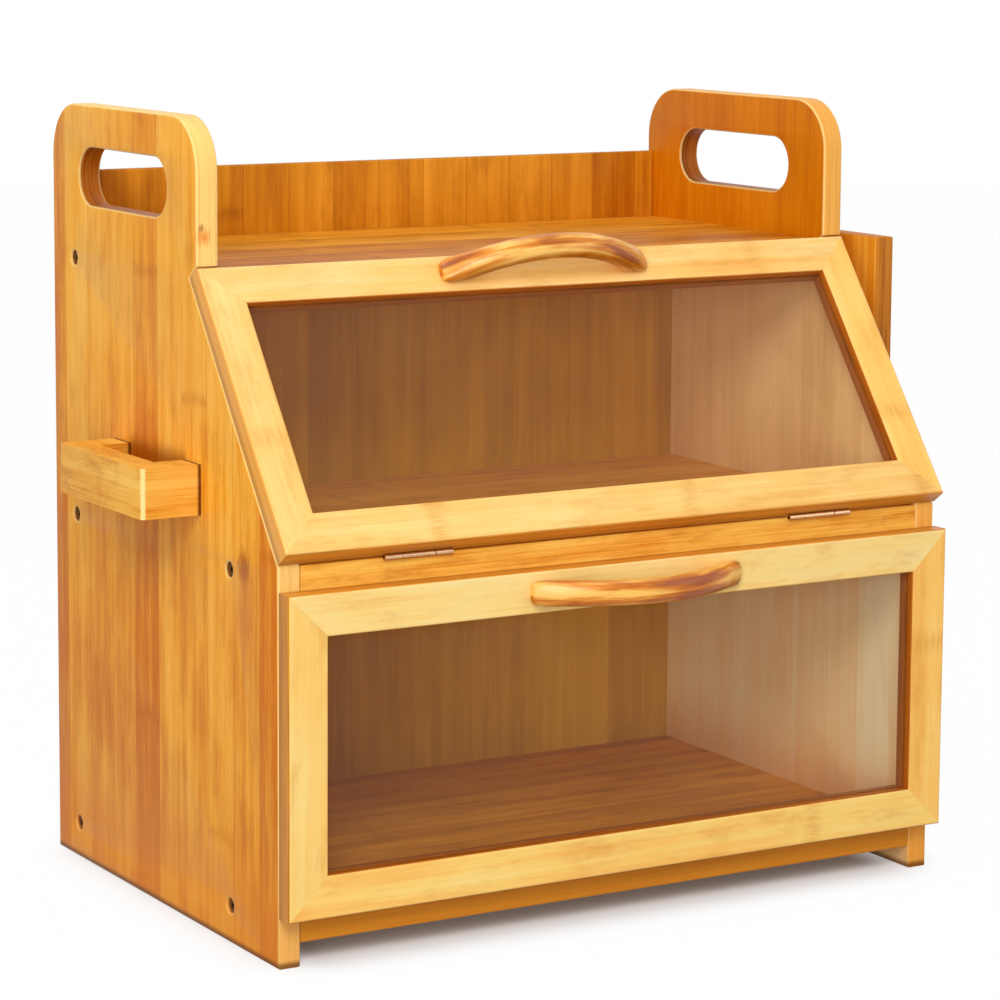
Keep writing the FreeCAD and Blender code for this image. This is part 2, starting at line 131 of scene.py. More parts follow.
class Field:
    """A number that varies over a surface, for use in Python arithmetic."""

    def __init__(self, graph: "Graph", socket: bpy.types.NodeSocket) -> None:
        """Wraps a socket of a graph.

        Args:
            graph: The graph that the socket is in.
            socket: The output socket with the number.
        """
        self.graph = graph
        self.socket = socket

    def __add__(self, other: Number) -> "Field":
        """Adds a number or a field."""
        return self.graph.math("ADD", self, other)

    def __radd__(self, other: Number) -> "Field":
        """Is added to a number."""
        return self.graph.math("ADD", other, self)

    def __sub__(self, other: Number) -> "Field":
        """Takes a number or a field away."""
        return self.graph.math("SUBTRACT", self, other)

    def __rsub__(self, other: Number) -> "Field":
        """Is taken away from a number."""
        return self.graph.math("SUBTRACT", other, self)

    def __mul__(self, other: Number) -> "Field":
        """Multiplies by a number or a field."""
        return self.graph.math("MULTIPLY", self, other)

    def __rmul__(self, other: Number) -> "Field":
        """Multiplies a number."""
        return self.graph.math("MULTIPLY", other, self)

    def __truediv__(self, other: Number) -> "Field":
        """Divides by a number or a field."""
        return self.graph.math("DIVIDE", self, other)

    def __abs__(self) -> "Field":
        """Gives the size without the sign."""
        return self.graph.math("ABSOLUTE", self)

    def floor(self) -> "Field":
        """Rounds down to a whole number."""
        return self.graph.math("FLOOR", self)

    def fract(self) -> "Field":
        """Gives what is left after rounding down."""
        return self.graph.math("FRACT", self)

    def clamp(self) -> "Field":
        """Keeps the number between 0 and 1."""
        return self.graph.math("MINIMUM", self.graph.math("MAXIMUM", self, 0.0), 1.0)


class Graph:
    """The node tree of a material, of the world or of the repeater, written by short calls."""

    def __init__(self, tree: bpy.types.NodeTree) -> None:
        """Clears a tree.

        Args:
            tree: The tree to fill.
        """
        self.tree = tree
        tree.nodes.clear()

    @classmethod
    def material(cls, name: str) -> tuple[bpy.types.Material, "Graph"]:
        """Starts a new material.

        Args:
            name: Name of the material.

        Returns:
            The material and its empty graph.
        """
        made = bpy.data.materials.new(name)
        made.use_nodes = True
        return made, cls(made.node_tree)

    def node(self, kind: str, settings: dict | None = None,
             inputs: dict | None = None) -> bpy.types.Node:
        """Adds any node.

        Args:
            kind: The node's type.
            settings: Its properties, set before its sockets.
            inputs: Values or links of its sockets, by name or number.

        Returns:
            The new node.
        """
        made = self.tree.nodes.new(kind)
        for key, value in (settings or {}).items():
            setattr(made, key, value)
        for key, value in (inputs or {}).items():
            socket = made.inputs[key]
            if isinstance(value, Field):
                value = value.socket
            if isinstance(value, bpy.types.NodeSocket):
                self.tree.links.new(value, socket)
            elif isinstance(value, (tuple, list)) and len(value) == 3 and socket.type == "RGBA":
                socket.default_value = (*value, 1.0)
            else:
                socket.default_value = value
        return made

    def field(self, kind: str, output: Union[str, int] = 0, settings: dict | None = None,
              inputs: dict | None = None) -> Field:
        """Adds any node and wraps one of its outputs.

        Args:
            kind: The node's type.
            output: Name or number of the output.
            settings: Its properties.
            inputs: Values or links of its sockets.

        Returns:
            The output as a field.
        """
        return Field(self, self.node(kind, settings, inputs).outputs[output])

    def math(self, operation: str, *values: Number) -> Field:
        """Adds a Math node.

        Args:
            operation: Name of the operation.
            *values: Its numbers or fields.

        Returns:
            The result.
        """
        return self.field("ShaderNodeMath", 0, {"operation": operation}, dict(enumerate(values)))

    def smooth(self, value: Field, low: float, high: float) -> Field:
        """Rises softly from 0 to 1 while the value goes from low to high.

        Args:
            value: The value to follow.
            low: Where the result is 0.
            high: Where the result is 1.

        Returns:
            The result.
        """
        return self.field("ShaderNodeMapRange", 0, {"interpolation_type": "SMOOTHSTEP"},
                          {0: value, 1: low, 2: high, 3: 0.0, 4: 1.0})

    def noise(self, place: Field, detail: float = 2.0, roughness: float = 0.5) -> Field:
        """Adds soft noise with features about one unit wide.

        Args:
            place: Where to read the noise.
            detail: Number of finer layers.
            roughness: Strength of the finer layers.

        Returns:
            Noise between 0 and 1.
        """
        return self.field("ShaderNodeTexNoise", 0, {"noise_dimensions": "3D"},
                          {"Vector": place, "Scale": 1.0, "Detail": detail, "Roughness": roughness})

    def chance(self, value: Field) -> Field:
        """Gives every whole number its own random number between 0 and 1."""
        return self.field("ShaderNodeTexWhiteNoise", 0, {"noise_dimensions": "1D"}, {"W": value})

    def point(self, *parts: Number) -> Field:
        """Joins three numbers or fields into a place."""
        return self.field("ShaderNodeCombineXYZ", 0, None, dict(enumerate(parts)))

    def parts(self, place: Field) -> list[Field]:
        """Splits a place into its three numbers."""
        split = self.node("ShaderNodeSeparateXYZ", None, {0: place})
        return [Field(self, out) for out in split.outputs]

    def blend(self, factor: Number, first: Union[Colour, Field], second: Union[Colour, Field],
              mode: str = "MIX") -> Field:
        """Mixes two colours.

        Args:
            factor: 0 for the first, 1 for the second.
            first: The first colour.
            second: The second colour.
            mode: How they are mixed.

        Returns:
            The mixed colour.
        """
        return self.field("ShaderNodeMix", 2, {"data_type": "RGBA", "blend_type": mode},
                          {0: factor, 6: first, 7: second})

    def ramp(self, value: Field, stops: Sequence[tuple[float, Colour]]) -> Field:
        """Turns a number into a colour.

        Args:
            value: The number.
            stops: Places from 0 to 1 with their colours.

        Returns:
            The colour.
        """
        made = self.node("ShaderNodeValToRGB", None, {0: value})
        marks = made.color_ramp.elements
        while len(marks) < len(stops):
            marks.new(0.5)
        for mark, (place, colour) in zip(marks, stops):
            mark.position = place
            mark.color = (*colour, 1.0)
        return Field(self, made.outputs[0])

    def close(self, shader: bpy.types.Node, kind: str = "ShaderNodeOutputMaterial") -> None:
        """Ends the graph in its output node.

        Args:
            shader: The node whose first output is the result.
            kind: Type of the output node.
        """
        self.node(kind, None, {0: shader.outputs[0]})


# Finishes


@dataclass(frozen=True)
class Tones:
    """The dark, middle and light tone of a wood."""

    deep: Colour
    middle: Colour
    pale: Colour

    @classmethod
    def seen(cls, deep: Sequence[int], middle: Sequence[int], pale: Sequence[int]) -> "Tones":
        """Takes three colours as they look on a screen, 0 to 255."""
        return cls(tint(*deep), tint(*middle), tint(*pale))

    def spread(self, graph: Graph, tone: Field) -> Field:
        """Turns a tone from 0 to 1 into a colour."""
        return graph.ramp(tone, [(0.12, self.deep), (0.5, self.middle), (0.88, self.pale)])


@dataclass(frozen=True)
class Lie:
    """Where a point of a piece is: along its fibres, across its strips and through it, in millimetres.

    Spots holds the same place by the box's axes in metres, and faces the way that the surface points.
    """

    run: Field
    side: Field
    deep: Field
    depth: Field
    spots: Sequence[Field]
    faces: Sequence[Field]


@dataclass(frozen=True)
class Streaks:
    """Noise drawn out along the fibres: how often it changes in a millimetre, and its finer layers.

    Seeded says how far the seed moves it along the fibres, across the strips and through the piece.
    """

    along: float
    across: float
    detail: float
    roughness: float = 0.5
    seeded: tuple[float, float, float] = (1.0, 0.0, 0.0)

    def read(self, graph: Graph, lie: Lie, seed: float) -> Field:
        """Reads the noise.

        Args:
            graph: The material's graph.
            lie: The place on the piece.
            seed: The piece's seed.

        Returns:
            Noise between 0 and 1.
        """
        parts = (lie.run * self.along, lie.side * self.across, lie.deep * self.across)
        moved = [part + seed * share if share else part for part, share in zip(parts, self.seeded)]
        return graph.noise(graph.point(*moved), self.detail, self.roughness)


HAIRS = Streaks(0.04, 2.6, 1.0)
SPECKS = Streaks(0.1, 1.1, 2.0, 0.6, seeded=(0.0, 0.0, 1.0))
BANDS = Streaks(0.005, 0.14, 2.0, seeded=(0.0, 1.0, 0.0))
CLOUDS = Streaks(0.014, 0.035, 3.0, 0.6, seeded=(0.0, 0.0, 1.0))
STAINS = Streaks(0.022, 0.08, 4.0, 0.7, seeded=(3.0, 0.0, 0.0))
RIPPLES = Streaks(0.01, 0.07, 1.0, seeded=(0.0, 0.0, 0.0))


@dataclass(frozen=True)
class Patch:
    """Faces of a board with tones of their own, or with painted light or shade: which way they face, and
    between which heights.
    """

    tones: Tones
    axis: Axis
    side: float
    low: float = -1000.0
    high: float = 1000.0
    calm: float = 1.0
    soft: float = 2.0

    def share(self, graph: Graph, lie: Lie) -> Field:
        """Gives 1 on the patch and 0 elsewhere.

        Args:
            graph: The material's graph.
            lie: The place on the board.

        Returns:
            The share of the patch's tones.
        """
        height = lie.spots[Axis.Z.value] * MM_IN_M
        facing = graph.smooth(lie.faces[self.axis.value] * self.side, 0.5, 0.8)
        under = 1.0 - graph.smooth(height, self.high - self.soft, self.high)
        return facing * under * graph.smooth(height, self.low - self.soft, self.low)


@dataclass(frozen=True)
class Crease:
    """A darker band where a board meets a plane: its colour, the plane, its width and its strength. In the
    knife slot and along the knife holder's joint it is painted shade.
    """

    colour: Colour
    axis: Axis
    place: float
    reach: float
    strength: float
    span: tuple[float, float] | None = None
    outward: float = 0.0
    soft: float = 3.0

    def share(self, graph: Graph, lie: Lie) -> Field:
        """Gives the band's share, which fades away from the plane.

        With a span, the band is only between those depths, on faces that point along X as outward says.

        Args:
            graph: The material's graph.
            lie: The place on the board.

        Returns:
            The share of the band's colour.
        """
        away = abs(lie.spots[self.axis.value] * MM_IN_M - self.place)
        band = graph.smooth(away, self.reach, self.reach * 0.3) * self.strength
        if self.span is None:
            return band
        depth = lie.spots[Axis.Y.value] * MM_IN_M
        near, far = self.span
        band = band * graph.smooth(depth, near - self.soft, near) * graph.smooth(depth, far + self.soft, far)
        return band * graph.smooth(lie.faces[Axis.X.value] * self.outward, 0.5, 0.8)


@dataclass(frozen=True)
class Knot:
    """A small dark knot in a board, by its place in millimetres, its size and its strength."""

    place: tuple[float, float, float]
    reach: float
    strength: float
    colour: Colour = tint(166, 80, 0)
    stretch: float = 0.56
    ragged: float = 1.6

    def share(self, graph: Graph, lie: Lie, speck: Field) -> Field:
        """Gives the knot's share.

        Args:
            graph: The material's graph.
            lie: The place on the board.
            speck: Fine noise that makes the knot's outline uneven.

        Returns:
            The share of the knot's colour.
        """
        x, y, z = (spot * MM_IN_M - middle for spot, middle in zip(lie.spots, self.place))
        away = graph.math("SQRT", x * x + y * y + z * z * self.stretch)
        away = away + (speck - 0.5) * (self.reach * self.ragged)
        return graph.smooth(away, self.reach, self.reach * 0.15) * self.strength


@dataclass(frozen=True)
class Bamboo:
    """Lacquered laminated bamboo: strips side by side, with fibres, growth nodes and end grain.

    Lengths are in millimetres. The rim is the sawn edge of a board, seen between its two skins.
    """

    name: str
    slot: str
    tones: Tones
    scar: Colour
    rim: Colour
    grain: Axis = Axis.Z
    across: Axis = Axis.Y
    strip: float = 29.0
    shift: float = 0.0
    seed: float = 0.0
    strip_spread: float = 0.3
    fibre: float = 0.5
    fibre_fine: float = 0.8
    fibre_long: float = 0.012
    mottle: float = 0.6
    blotch: float = 0.35
    seam: float = 0.3
    low_shade: float = 0.0
    low_shade_span: tuple[float, float] = (330.0, 130.0)
    node_gap: float = 235.0
    node_half: float = 6.0
    node_strength: float = 0.6
    rim_share: float = 0.0
    rim_streak: float = 0.22
    rim_back_shade: float = 0.0
    rim_dark: Colour = tint(184, 92, 12)
    thick: float = 12.5
    thick_shift: float = 0.0
    end_grain: float = 0.6
    # A pale band along rounded edges, in the worn colour: partly wear of the lacquer, partly a painted
    # highlight where the edges catch the light.
    wear_and_highlight: float = 0.0
    worn: Colour = tint(255, 226, 150)
    patches: tuple[Patch, ...] = ()
    creases: tuple[Crease, ...] = ()
    knots: tuple[Knot, ...] = ()
    bow: float = 0.0
    bow_half: float = 1.0
    wrapped: bool = False
    roughness: float = 0.42
    gloss: float = 0.12
    coat: float = 0.0
    bump: float = 0.06
    turn: float = 0.0
    hub: Colour = (0.0, 0.0, 0.0)

    def build(self) -> bpy.types.Material:
        """Makes the material.

        Returns:
            The material.
        """
        made, graph = Graph.material(self.name)
        lie = self.lie(graph)
        fine = Streaks(self.fibre_long, self.fibre_fine, 3.0, 0.65).read(graph, lie, self.seed)
        hair = HAIRS.read(graph, lie, self.seed)
        speck = SPECKS.read(graph, lie, self.seed)
        row = (lie.side + self.shift) / self.strip
        tone = self.tone(graph, lie, row.floor(), fine, hair)
        colour = self.tones.spread(graph, tone)

        stain = graph.smooth(STAINS.read(graph, lie, self.seed), 0.48, 0.76)
        colour = graph.blend(stain * self.blotch, colour, self.scar)
        mark = self.growth_nodes(graph, lie, row.floor(), speck)
        colour = graph.blend(mark.clamp(), colour, self.scar)
        seam = graph.smooth(abs(row.fract() - 0.5), 0.5 - 0.6 / self.strip, 0.5) * self.seam
        colour = graph.blend(seam, colour, self.scar)
        for patch in self.patches:
            tones = patch.tones.spread(graph, 0.5 + (tone - 0.5) * patch.calm)
            colour = graph.blend(patch.share(graph, lie), colour, tones)

        if self.rim_share:
            colour = self.sawn_rim(graph, lie, colour)
        if self.end_grain:
            colour = self.sawn_end(graph, lie, colour)
        # Pale band on rounded edges: partly wear, partly a painted highlight.
        if self.wear_and_highlight:
            flat = abs(lie.faces[self.third.value])
            rubbed_and_highlit = graph.smooth(flat, 0.15, 0.4) * graph.smooth(flat, 0.98, 0.88)
            rubbed_and_highlit = rubbed_and_highlit * graph.smooth(speck, 0.15, 0.45) * self.wear_and_highlight
            colour = graph.blend(rubbed_and_highlit, colour, self.worn)
        for knot in self.knots:
            colour = graph.blend(knot.share(graph, lie, speck), colour, knot.colour)
        for crease in self.creases:
            colour = graph.blend(crease.share(graph, lie), colour, crease.colour)

        rough = (self.roughness + (fine - 0.5) * 0.2 + mark * 0.1).clamp()
        bump = graph.node("ShaderNodeBump", None, {
            "Strength": self.bump, "Distance": 0.6 * MM, "Height": hair * 0.5 + fine * 0.5 - seam * 2.0})
        shader = graph.node("ShaderNodeBsdfPrincipled", None, {
            "Base Color": colour, "Roughness": rough, "Normal": bump.outputs[0],
            "Specular IOR Level": self.gloss, "Coat Weight": self.coat, "Coat Roughness": 0.3})
        graph.close(shader)
        return made

    @property
    def third(self) -> Axis:
        """The axis through the piece, at right angles to its fibres and its strips."""
        return next(a for a in Axis if a not in (self.grain, self.across))

    def lie(self, graph: Graph) -> Lie:
        """Finds the place on the piece, turned upright about its hub if it leans.

        A bowed piece's fibres follow its arc, and those of a wrapped one go round its corners.

        Args:
            graph: The material's graph.

        Returns:
            The place.
        """
        space = graph.node("ShaderNodeTexCoord")
        hub = Matrix.Rotation(self.turn, 3, "X") @ Vector(self.hub)
        place = graph.field("ShaderNodeMapping", 0, {"vector_type": "POINT"}, {
            "Vector": space.outputs["Object"], "Rotation": (self.turn, 0.0, 0.0),
            "Scale": (1.0, 1.0, 1.0), "Location": tuple(-hub)})
        facing = graph.field("ShaderNodeMapping", 0, {"vector_type": "VECTOR"}, {
            "Vector": space.outputs["Normal"], "Rotation": (self.turn, 0.0, 0.0)})
        spots, faces = graph.parts(place), graph.parts(facing)
        run, side, depth = (spots[a.value] * MM_IN_M for a in (self.grain, self.across, self.third))
        deep = depth
        if self.bow:
            share = run / self.bow_half
            deep = deep + (1.0 - share * share) * self.bow
        if self.wrapped:
            run, deep = run + deep, deep * abs(faces[self.across.value])
        return Lie(run, side, deep, depth, spots, faces)

    def tone(self, graph: Graph, lie: Lie, strip: Field, fine: Field, hair: Field) -> Field:
        """Gives the tone of the wood, about 0 where it is darkest and 1 where it is lightest.

        Args:
            graph: The material's graph.
            lie: The place on the piece.
            strip: Number of the strip.
            fine: Noise of the fibres.
            hair: Finer noise of the fibres.

        Returns:
            The tone.
        """
        chance = graph.chance(strip + (self.seed * 7.0 + 0.5))
        tone = (0.5 + (chance - 0.5) * self.strip_spread + (fine - 0.5) * self.fibre
                + (hair - 0.5) * (self.fibre * 0.35))
        for streaks in (BANDS, CLOUDS):
            tone = tone + (streaks.read(graph, lie, self.seed) - 0.5) * self.mottle
        # Painted shade: the tone darkens towards the bottom, where less light falls.
        if self.low_shade:
            tone = tone - graph.smooth(lie.spots[Axis.Z.value] * MM_IN_M, *self.low_shade_span) * self.low_shade
        return tone

    def growth_nodes(self, graph: Graph, lie: Lie, strip: Field, speck: Field) -> Field:
        """Gives the marks of the growth nodes, each strip with its own places.

        Args:
            graph: The material's graph.
            lie: The place on the piece.
            strip: Number of the strip.
            speck: Fine noise that breaks up the marks.

        Returns:
            The strength of the marks.
        """
        chance = graph.chance(strip * 3.0 + (self.seed * 11.0 + 40.5))
        ripple = RIPPLES.read(graph, lie, self.seed)
        count = lie.run / self.node_gap + chance + (ripple - 0.5) * 0.03
        away = abs(count.fract() - 0.5) * self.node_gap
        there = graph.smooth(graph.chance(count.floor() * 13.0 + strip * 5.0 + self.seed), 0.4, 0.5)
        band = 1.0 - graph.smooth(away, 0.0, self.node_half)
        return band * graph.smooth(speck, 0.25, 0.7) * there * self.node_strength

    def sawn_rim(self, graph: Graph, lie: Lie, colour: Field) -> Field:
        """Lays the streaky tone of the sawn edge between the two skins of a board.

        Args:
            graph: The material's graph.
            lie: The place on the piece.
            colour: The colour so far.

        Returns:
            The colour with the rim.
        """
        through = (lie.depth + self.thick_shift) / self.thick
        level = abs(through - 0.5)
        skin = graph.smooth(abs(lie.faces[self.third.value]), 0.6, 0.9) * graph.smooth(level, 0.36, 0.44)
        along = lie.run * 0.012 + self.seed
        streak = graph.noise(graph.point(along, lie.side * 0.02, lie.depth * 0.7), 3.0, 0.6)
        rim = graph.blend(graph.smooth(streak, 0.54, 0.36) * self.rim_streak, self.rim, self.rim_dark)
        # Painted shade: the rim darkens towards the back of the piece, for the shade in the gap behind a
        # door's edge and in its window rebate.
        rim = graph.blend(graph.smooth(through, 0.6, 1.0) * self.rim_back_shade, rim, self.rim_dark)
        return graph.blend((1.0 - skin) * self.rim_share, colour, rim)

    def sawn_end(self, graph: Graph, lie: Lie, colour: Field) -> Field:
        """Lays the pores of the end grain on the faces across the fibres.

        Args:
            graph: The material's graph.
            lie: The place on the piece.
            colour: The colour so far.

        Returns:
            The colour with the end grain.
        """
        end = graph.smooth(abs(lie.faces[self.grain.value]), 0.75, 0.92)
        pores = graph.noise(graph.point(lie.side * 0.5, lie.deep * 0.9, lie.run * 0.9), 2.0, 0.6)
        cut = graph.ramp(pores, [(0.3, self.scar), (0.5, self.tones.deep), (0.7, self.tones.middle)])
        return graph.blend(end * self.end_grain, colour, cut)


@dataclass(frozen=True)
class Pane:
    """Clear plastic sheet with a slight grey film."""

    name: str
    film: Colour
    veil: float
    slot: str = "clear_pane"

    def build(self) -> bpy.types.Material:
        """Makes the material.

        Returns:
            The material.
        """
        made, graph = Graph.material(self.name)
        space = graph.node("ShaderNodeTexCoord")
        x, y, z = graph.parts(Field(graph, space.outputs["Object"]))
        smear = graph.noise(graph.point(x * 9.0, y * 9.0, z * 9.0), 3.0, 0.6)
        shader = graph.node("ShaderNodeBsdfPrincipled", None, {
            "Base Color": self.film, "Roughness": 0.03 + smear * 0.05,
            "Alpha": self.veil * (0.75 + smear * 0.5), "IOR": 1.46})
        graph.close(shader)
        return made


@dataclass(frozen=True)
class Metal:
    """Plated steel with fine turning marks."""

    name: str
    colour: Colour
    shade: Colour
    roughness: float = 0.3
    slot: str = "hardware_steel"

    def build(self) -> bpy.types.Material:
        """Makes the material.

        Returns:
            The material.
        """
        made, graph = Graph.material(self.name)
        space = graph.node("ShaderNodeTexCoord")
        x, y, z = graph.parts(Field(graph, space.outputs["Object"]))
        brushed = graph.noise(graph.point(x * 260.0, y * 2600.0, z * 2600.0), 3.0)
        worn = graph.noise(graph.point(x * 300.0, y * 300.0, z * 300.0), 2.0)
        tone = graph.blend((brushed * 0.6 + worn * 0.4).clamp(), self.shade, self.colour)
        shader = graph.node("ShaderNodeBsdfPrincipled", None, {
            "Base Color": tone, "Metallic": 1.0, "Roughness": self.roughness + (brushed - 0.5) * 0.2})
        graph.close(shader)
        return made


Finish = Union[Bamboo, Pane, Metal]

HONEY = Bamboo("honey_bamboo", "honey_bamboo", Tones.seen((220, 134, 28), (241, 165, 50), (250, 188, 80)),
               scar=tint(184, 92, 12), rim=tint(252, 208, 120), strip_spread=0.55, fibre=0.75, mottle=1.0,
               blotch=0.5, seam=0.45, node_strength=0.5)
AMBER = replace(HONEY, name="amber_bamboo", tones=Tones.seen((176, 96, 8), (206, 127, 16), (232, 156, 42)),
                scar=tint(136, 60, 4), rim=tint(232, 150, 40), strip_spread=0.6, fibre=0.8, blotch=0.4)
PALE = replace(HONEY, name="pale_bamboo", slot="pale_bamboo",
               tones=Tones.seen((238, 178, 88), (245, 203, 120), (249, 221, 150)), scar=tint(214, 134, 40),
               rim=tint(232, 156, 60), rim_share=1.0, strip_spread=0.25, fibre=0.5, mottle=0.8, blotch=0.4,
               seam=0.0, node_gap=150.0, node_half=9.0, thick=9.1, thick_shift=10.15, roughness=0.38,
               gloss=0.3, end_grain=0.0)
CARAMEL = replace(HONEY, name="caramel_bamboo", slot="caramel_bamboo",
                  tones=Tones.seen((160, 74, 0), (218, 130, 20), (255, 200, 104)), scar=tint(120, 48, 0),
                  grain=Axis.X, across=Axis.Z, strip=60.0, shift=30.0, strip_spread=0.2, fibre=0.9,
                  mottle=2.7, seam=0.0, node_strength=0.0, blotch=0.35, roughness=0.32, gloss=0.4, coat=0.15,
                  end_grain=0.0, bump=0.03)
CLEAR = Pane("clear_pane_sheet", film=tint(168, 150, 132), veil=0.05)
STEEL = Metal("hinge_steel", colour=tint(244, 206, 164), shade=tint(160, 114, 76), roughness=0.26)
DARK_STEEL = Metal("screw_steel", colour=tint(118, 80, 44), shade=tint(54, 32, 16), roughness=0.4)

SHELF_LEVEL = 196.0
CEILING_LEVEL = 332.0
EAR_LEVEL = 334.0
BROWN_WALL = Patch(Tones.seen((174, 116, 4), (203, 145, 12), (222, 165, 26)), Axis.Y, -1.0, calm=0.65)
TAN_WALL = replace(BROWN_WALL, tones=Tones.seen((186, 126, 22), (216, 158, 38), (234, 178, 54)))
# Painted light: the inner faces of the side panels are paler, for the light inside the box and the pane's
# reflection over them.
GREY_WALL_PAINTED_LIGHT = Patch(Tones.seen((228, 180, 110), (245, 204, 136), (252, 214, 150)), Axis.X, 1.0,
                  low=SHELF_LEVEL, high=CEILING_LEVEL, calm=0.7)
SAND_WALL_PAINTED_LIGHT = Patch(Tones.seen((252, 218, 154), (255, 238, 186), (255, 244, 200)), Axis.X, 1.0,
                  high=SHELF_LEVEL, calm=0.75)
# Painted shade: the inner face of the ear is darker amber.
AMBER_EAR_SHADE = Patch(Tones.seen((184, 92, 2), (208, 120, 2), (230, 148, 24)), Axis.X, 1.0, low=EAR_LEVEL,
                  calm=0.7)


class Paintbox:
    """Makes each finish once, and gives it to pieces."""

    def __init__(self) -> None:
        """Starts with nothing made."""
        self.made: dict[str, bpy.types.Material] = {}

    def get(self, finish: Finish) -> bpy.types.Material:
        """Gives the material of a finish."""
        if finish.name not in self.made:
            self.made[finish.name] = finish.build()
        return self.made[finish.name]

    def dress(self, piece: bpy.types.Object, finish: Finish) -> None:
        """Gives a piece one finish all over.

        Args:
            piece: The piece.
            finish: Its finish.
        """
        piece.data.materials.clear()
        piece.data.materials.append(self.get(finish))


# Making meshes

Ring = list[bmesh.types.BMVert]


def new_piece(name: str, mesh: bpy.types.Mesh) -> bpy.types.Object:
    """Puts a mesh in the scene as a piece at the origin."""
    piece = bpy.data.objects.new(name, mesh)
    bpy.context.scene.collection.objects.link(piece)
    return piece


def mesh_from(name: str, work: bmesh.types.BMesh, soft: float = 40.0) -> bpy.types.Mesh:
    """Ends an editing mesh as a mesh with smooth faces and crisp corners.

    Args:
        name: Name of the mesh.
        work: The editing mesh, which is freed.
        soft: Angle in degrees above which a corner stays crisp.

    Returns:
        The mesh.
    """
    bmesh.ops.remove_doubles(work, verts=work.verts, dist=1e-7)
    bmesh.ops.recalc_face_normals(work, faces=work.faces)
    mesh = bpy.data.meshes.new(name)
    for edge in work.edges:
        edge.smooth = edge.is_manifold and edge.calc_face_angle(0.0) < math.radians(soft)
    for face in work.faces:
        face.smooth = True
    work.to_mesh(mesh)
    work.free()
    return mesh


def rounded_block(name: str, low: Vector, high: Vector, radius: float) -> bpy.types.Mesh:
    """Makes a block with rounded edges.

    Args:
        name: Name of the mesh.
        low: Its lowest corner.
        high: Its highest corner.
        radius: Radius of its edges.

    Returns:
        The mesh.
    """
    work = bmesh.new()
    bmesh.ops.create_cube(work, size=1.0)
    size, middle = high - low, (high + low) / 2
    bmesh.ops.transform(work, verts=work.verts,
                        matrix=Matrix.Translation(middle) @ Matrix.Diagonal((*size, 1.0)))
    bmesh.ops.bevel(work, geom=work.edges, offset=radius, segments=3, profile=0.5, affect="EDGES")
    return mesh_from(name, work, 60.0)


def join_rings(work: bmesh.types.BMesh, rings: Sequence[Ring]) -> None:
    """Joins rings of points into a closed skin, with a face over each end.

    Args:
        work: The editing mesh that the points are in.
        rings: The rings, each with the same number of points.
    """
    for low, high in zip(rings, rings[1:]):
        for k in range(len(low)):
            n = (k + 1) % len(low)
            work.faces.new((low[k], low[n], high[n], high[k]))
    work.faces.new(rings[0][::-1])
    work.faces.new(rings[-1])


def lathe(name: str, outline: Sequence[tuple[float, float]], steps: int = 24) -> bpy.types.Mesh:
    """Turns an outline about the Z axis.

    Args:
        name: Name of the mesh.
        outline: (radius, height) points from one end to the other.
        steps: Number of sides.

    Returns:
        The closed mesh.
    """
    work = bmesh.new()
    angles = [2 * math.pi * k / steps for k in range(steps)]
    join_rings(work, [[work.verts.new((radius * math.cos(a), radius * math.sin(a), height)) for a in angles]
                      for radius, height in outline])
    return mesh_from(name, work)


@dataclass(frozen=True)
class Screw:
    """A countersunk screw with a square drive: its radii, its length and half the drive's width."""

    shank: float
    head: float
    length: float
    drive: float
    steps: int = 24

    def ring(self, work: bmesh.types.BMesh, reach: float, height: float, square: bool) -> Ring:
        """Adds a ring of points.

        Args:
            work: The editing mesh.
            reach: Radius of the ring, or half the width of a square one.
            height: Its height.
            square: Whether it is square.

        Returns:
            The points.
        """
        found = []
        for k in range(self.steps):
            angle = 2 * math.pi * (k + 0.5) / self.steps
            c, s = math.cos(angle), math.sin(angle)
            out = reach / max(abs(c), abs(s)) if square else reach
            found.append(work.verts.new((out * c, out * s, height)))
        return found

    def mesh(self, name: str) -> bpy.types.Mesh:
        """Makes the screw. Its head's top is at the origin, its shank below.

        Args:
            name: Name of the mesh.

        Returns:
            The closed mesh.
        """
        cone = self.head - self.shank
        edge = 0.12 * cone
        plan = [(self.shank * 0.5, -self.length, False), (self.shank, self.shank - self.length, False),
                (self.shank, -cone, False), (self.head, -edge, False), (self.head - edge, 0.0, False),
                (self.drive * 1.1, 0.0, True), (self.drive, -edge, True), (self.drive, -cone, True)]
        work = bmesh.new()
        join_rings(work, [self.ring(work, *step) for step in plan])
        return mesh_from(name, work, 30.0)


@dataclass
class Spot:
    """Where one copy of a repeated item goes: its place, the way that it points and its size."""

    place: Vector
    aim: Vector
    size: Vector = field(default_factory=lambda: Vector((1.0, 1.0, 1.0)))


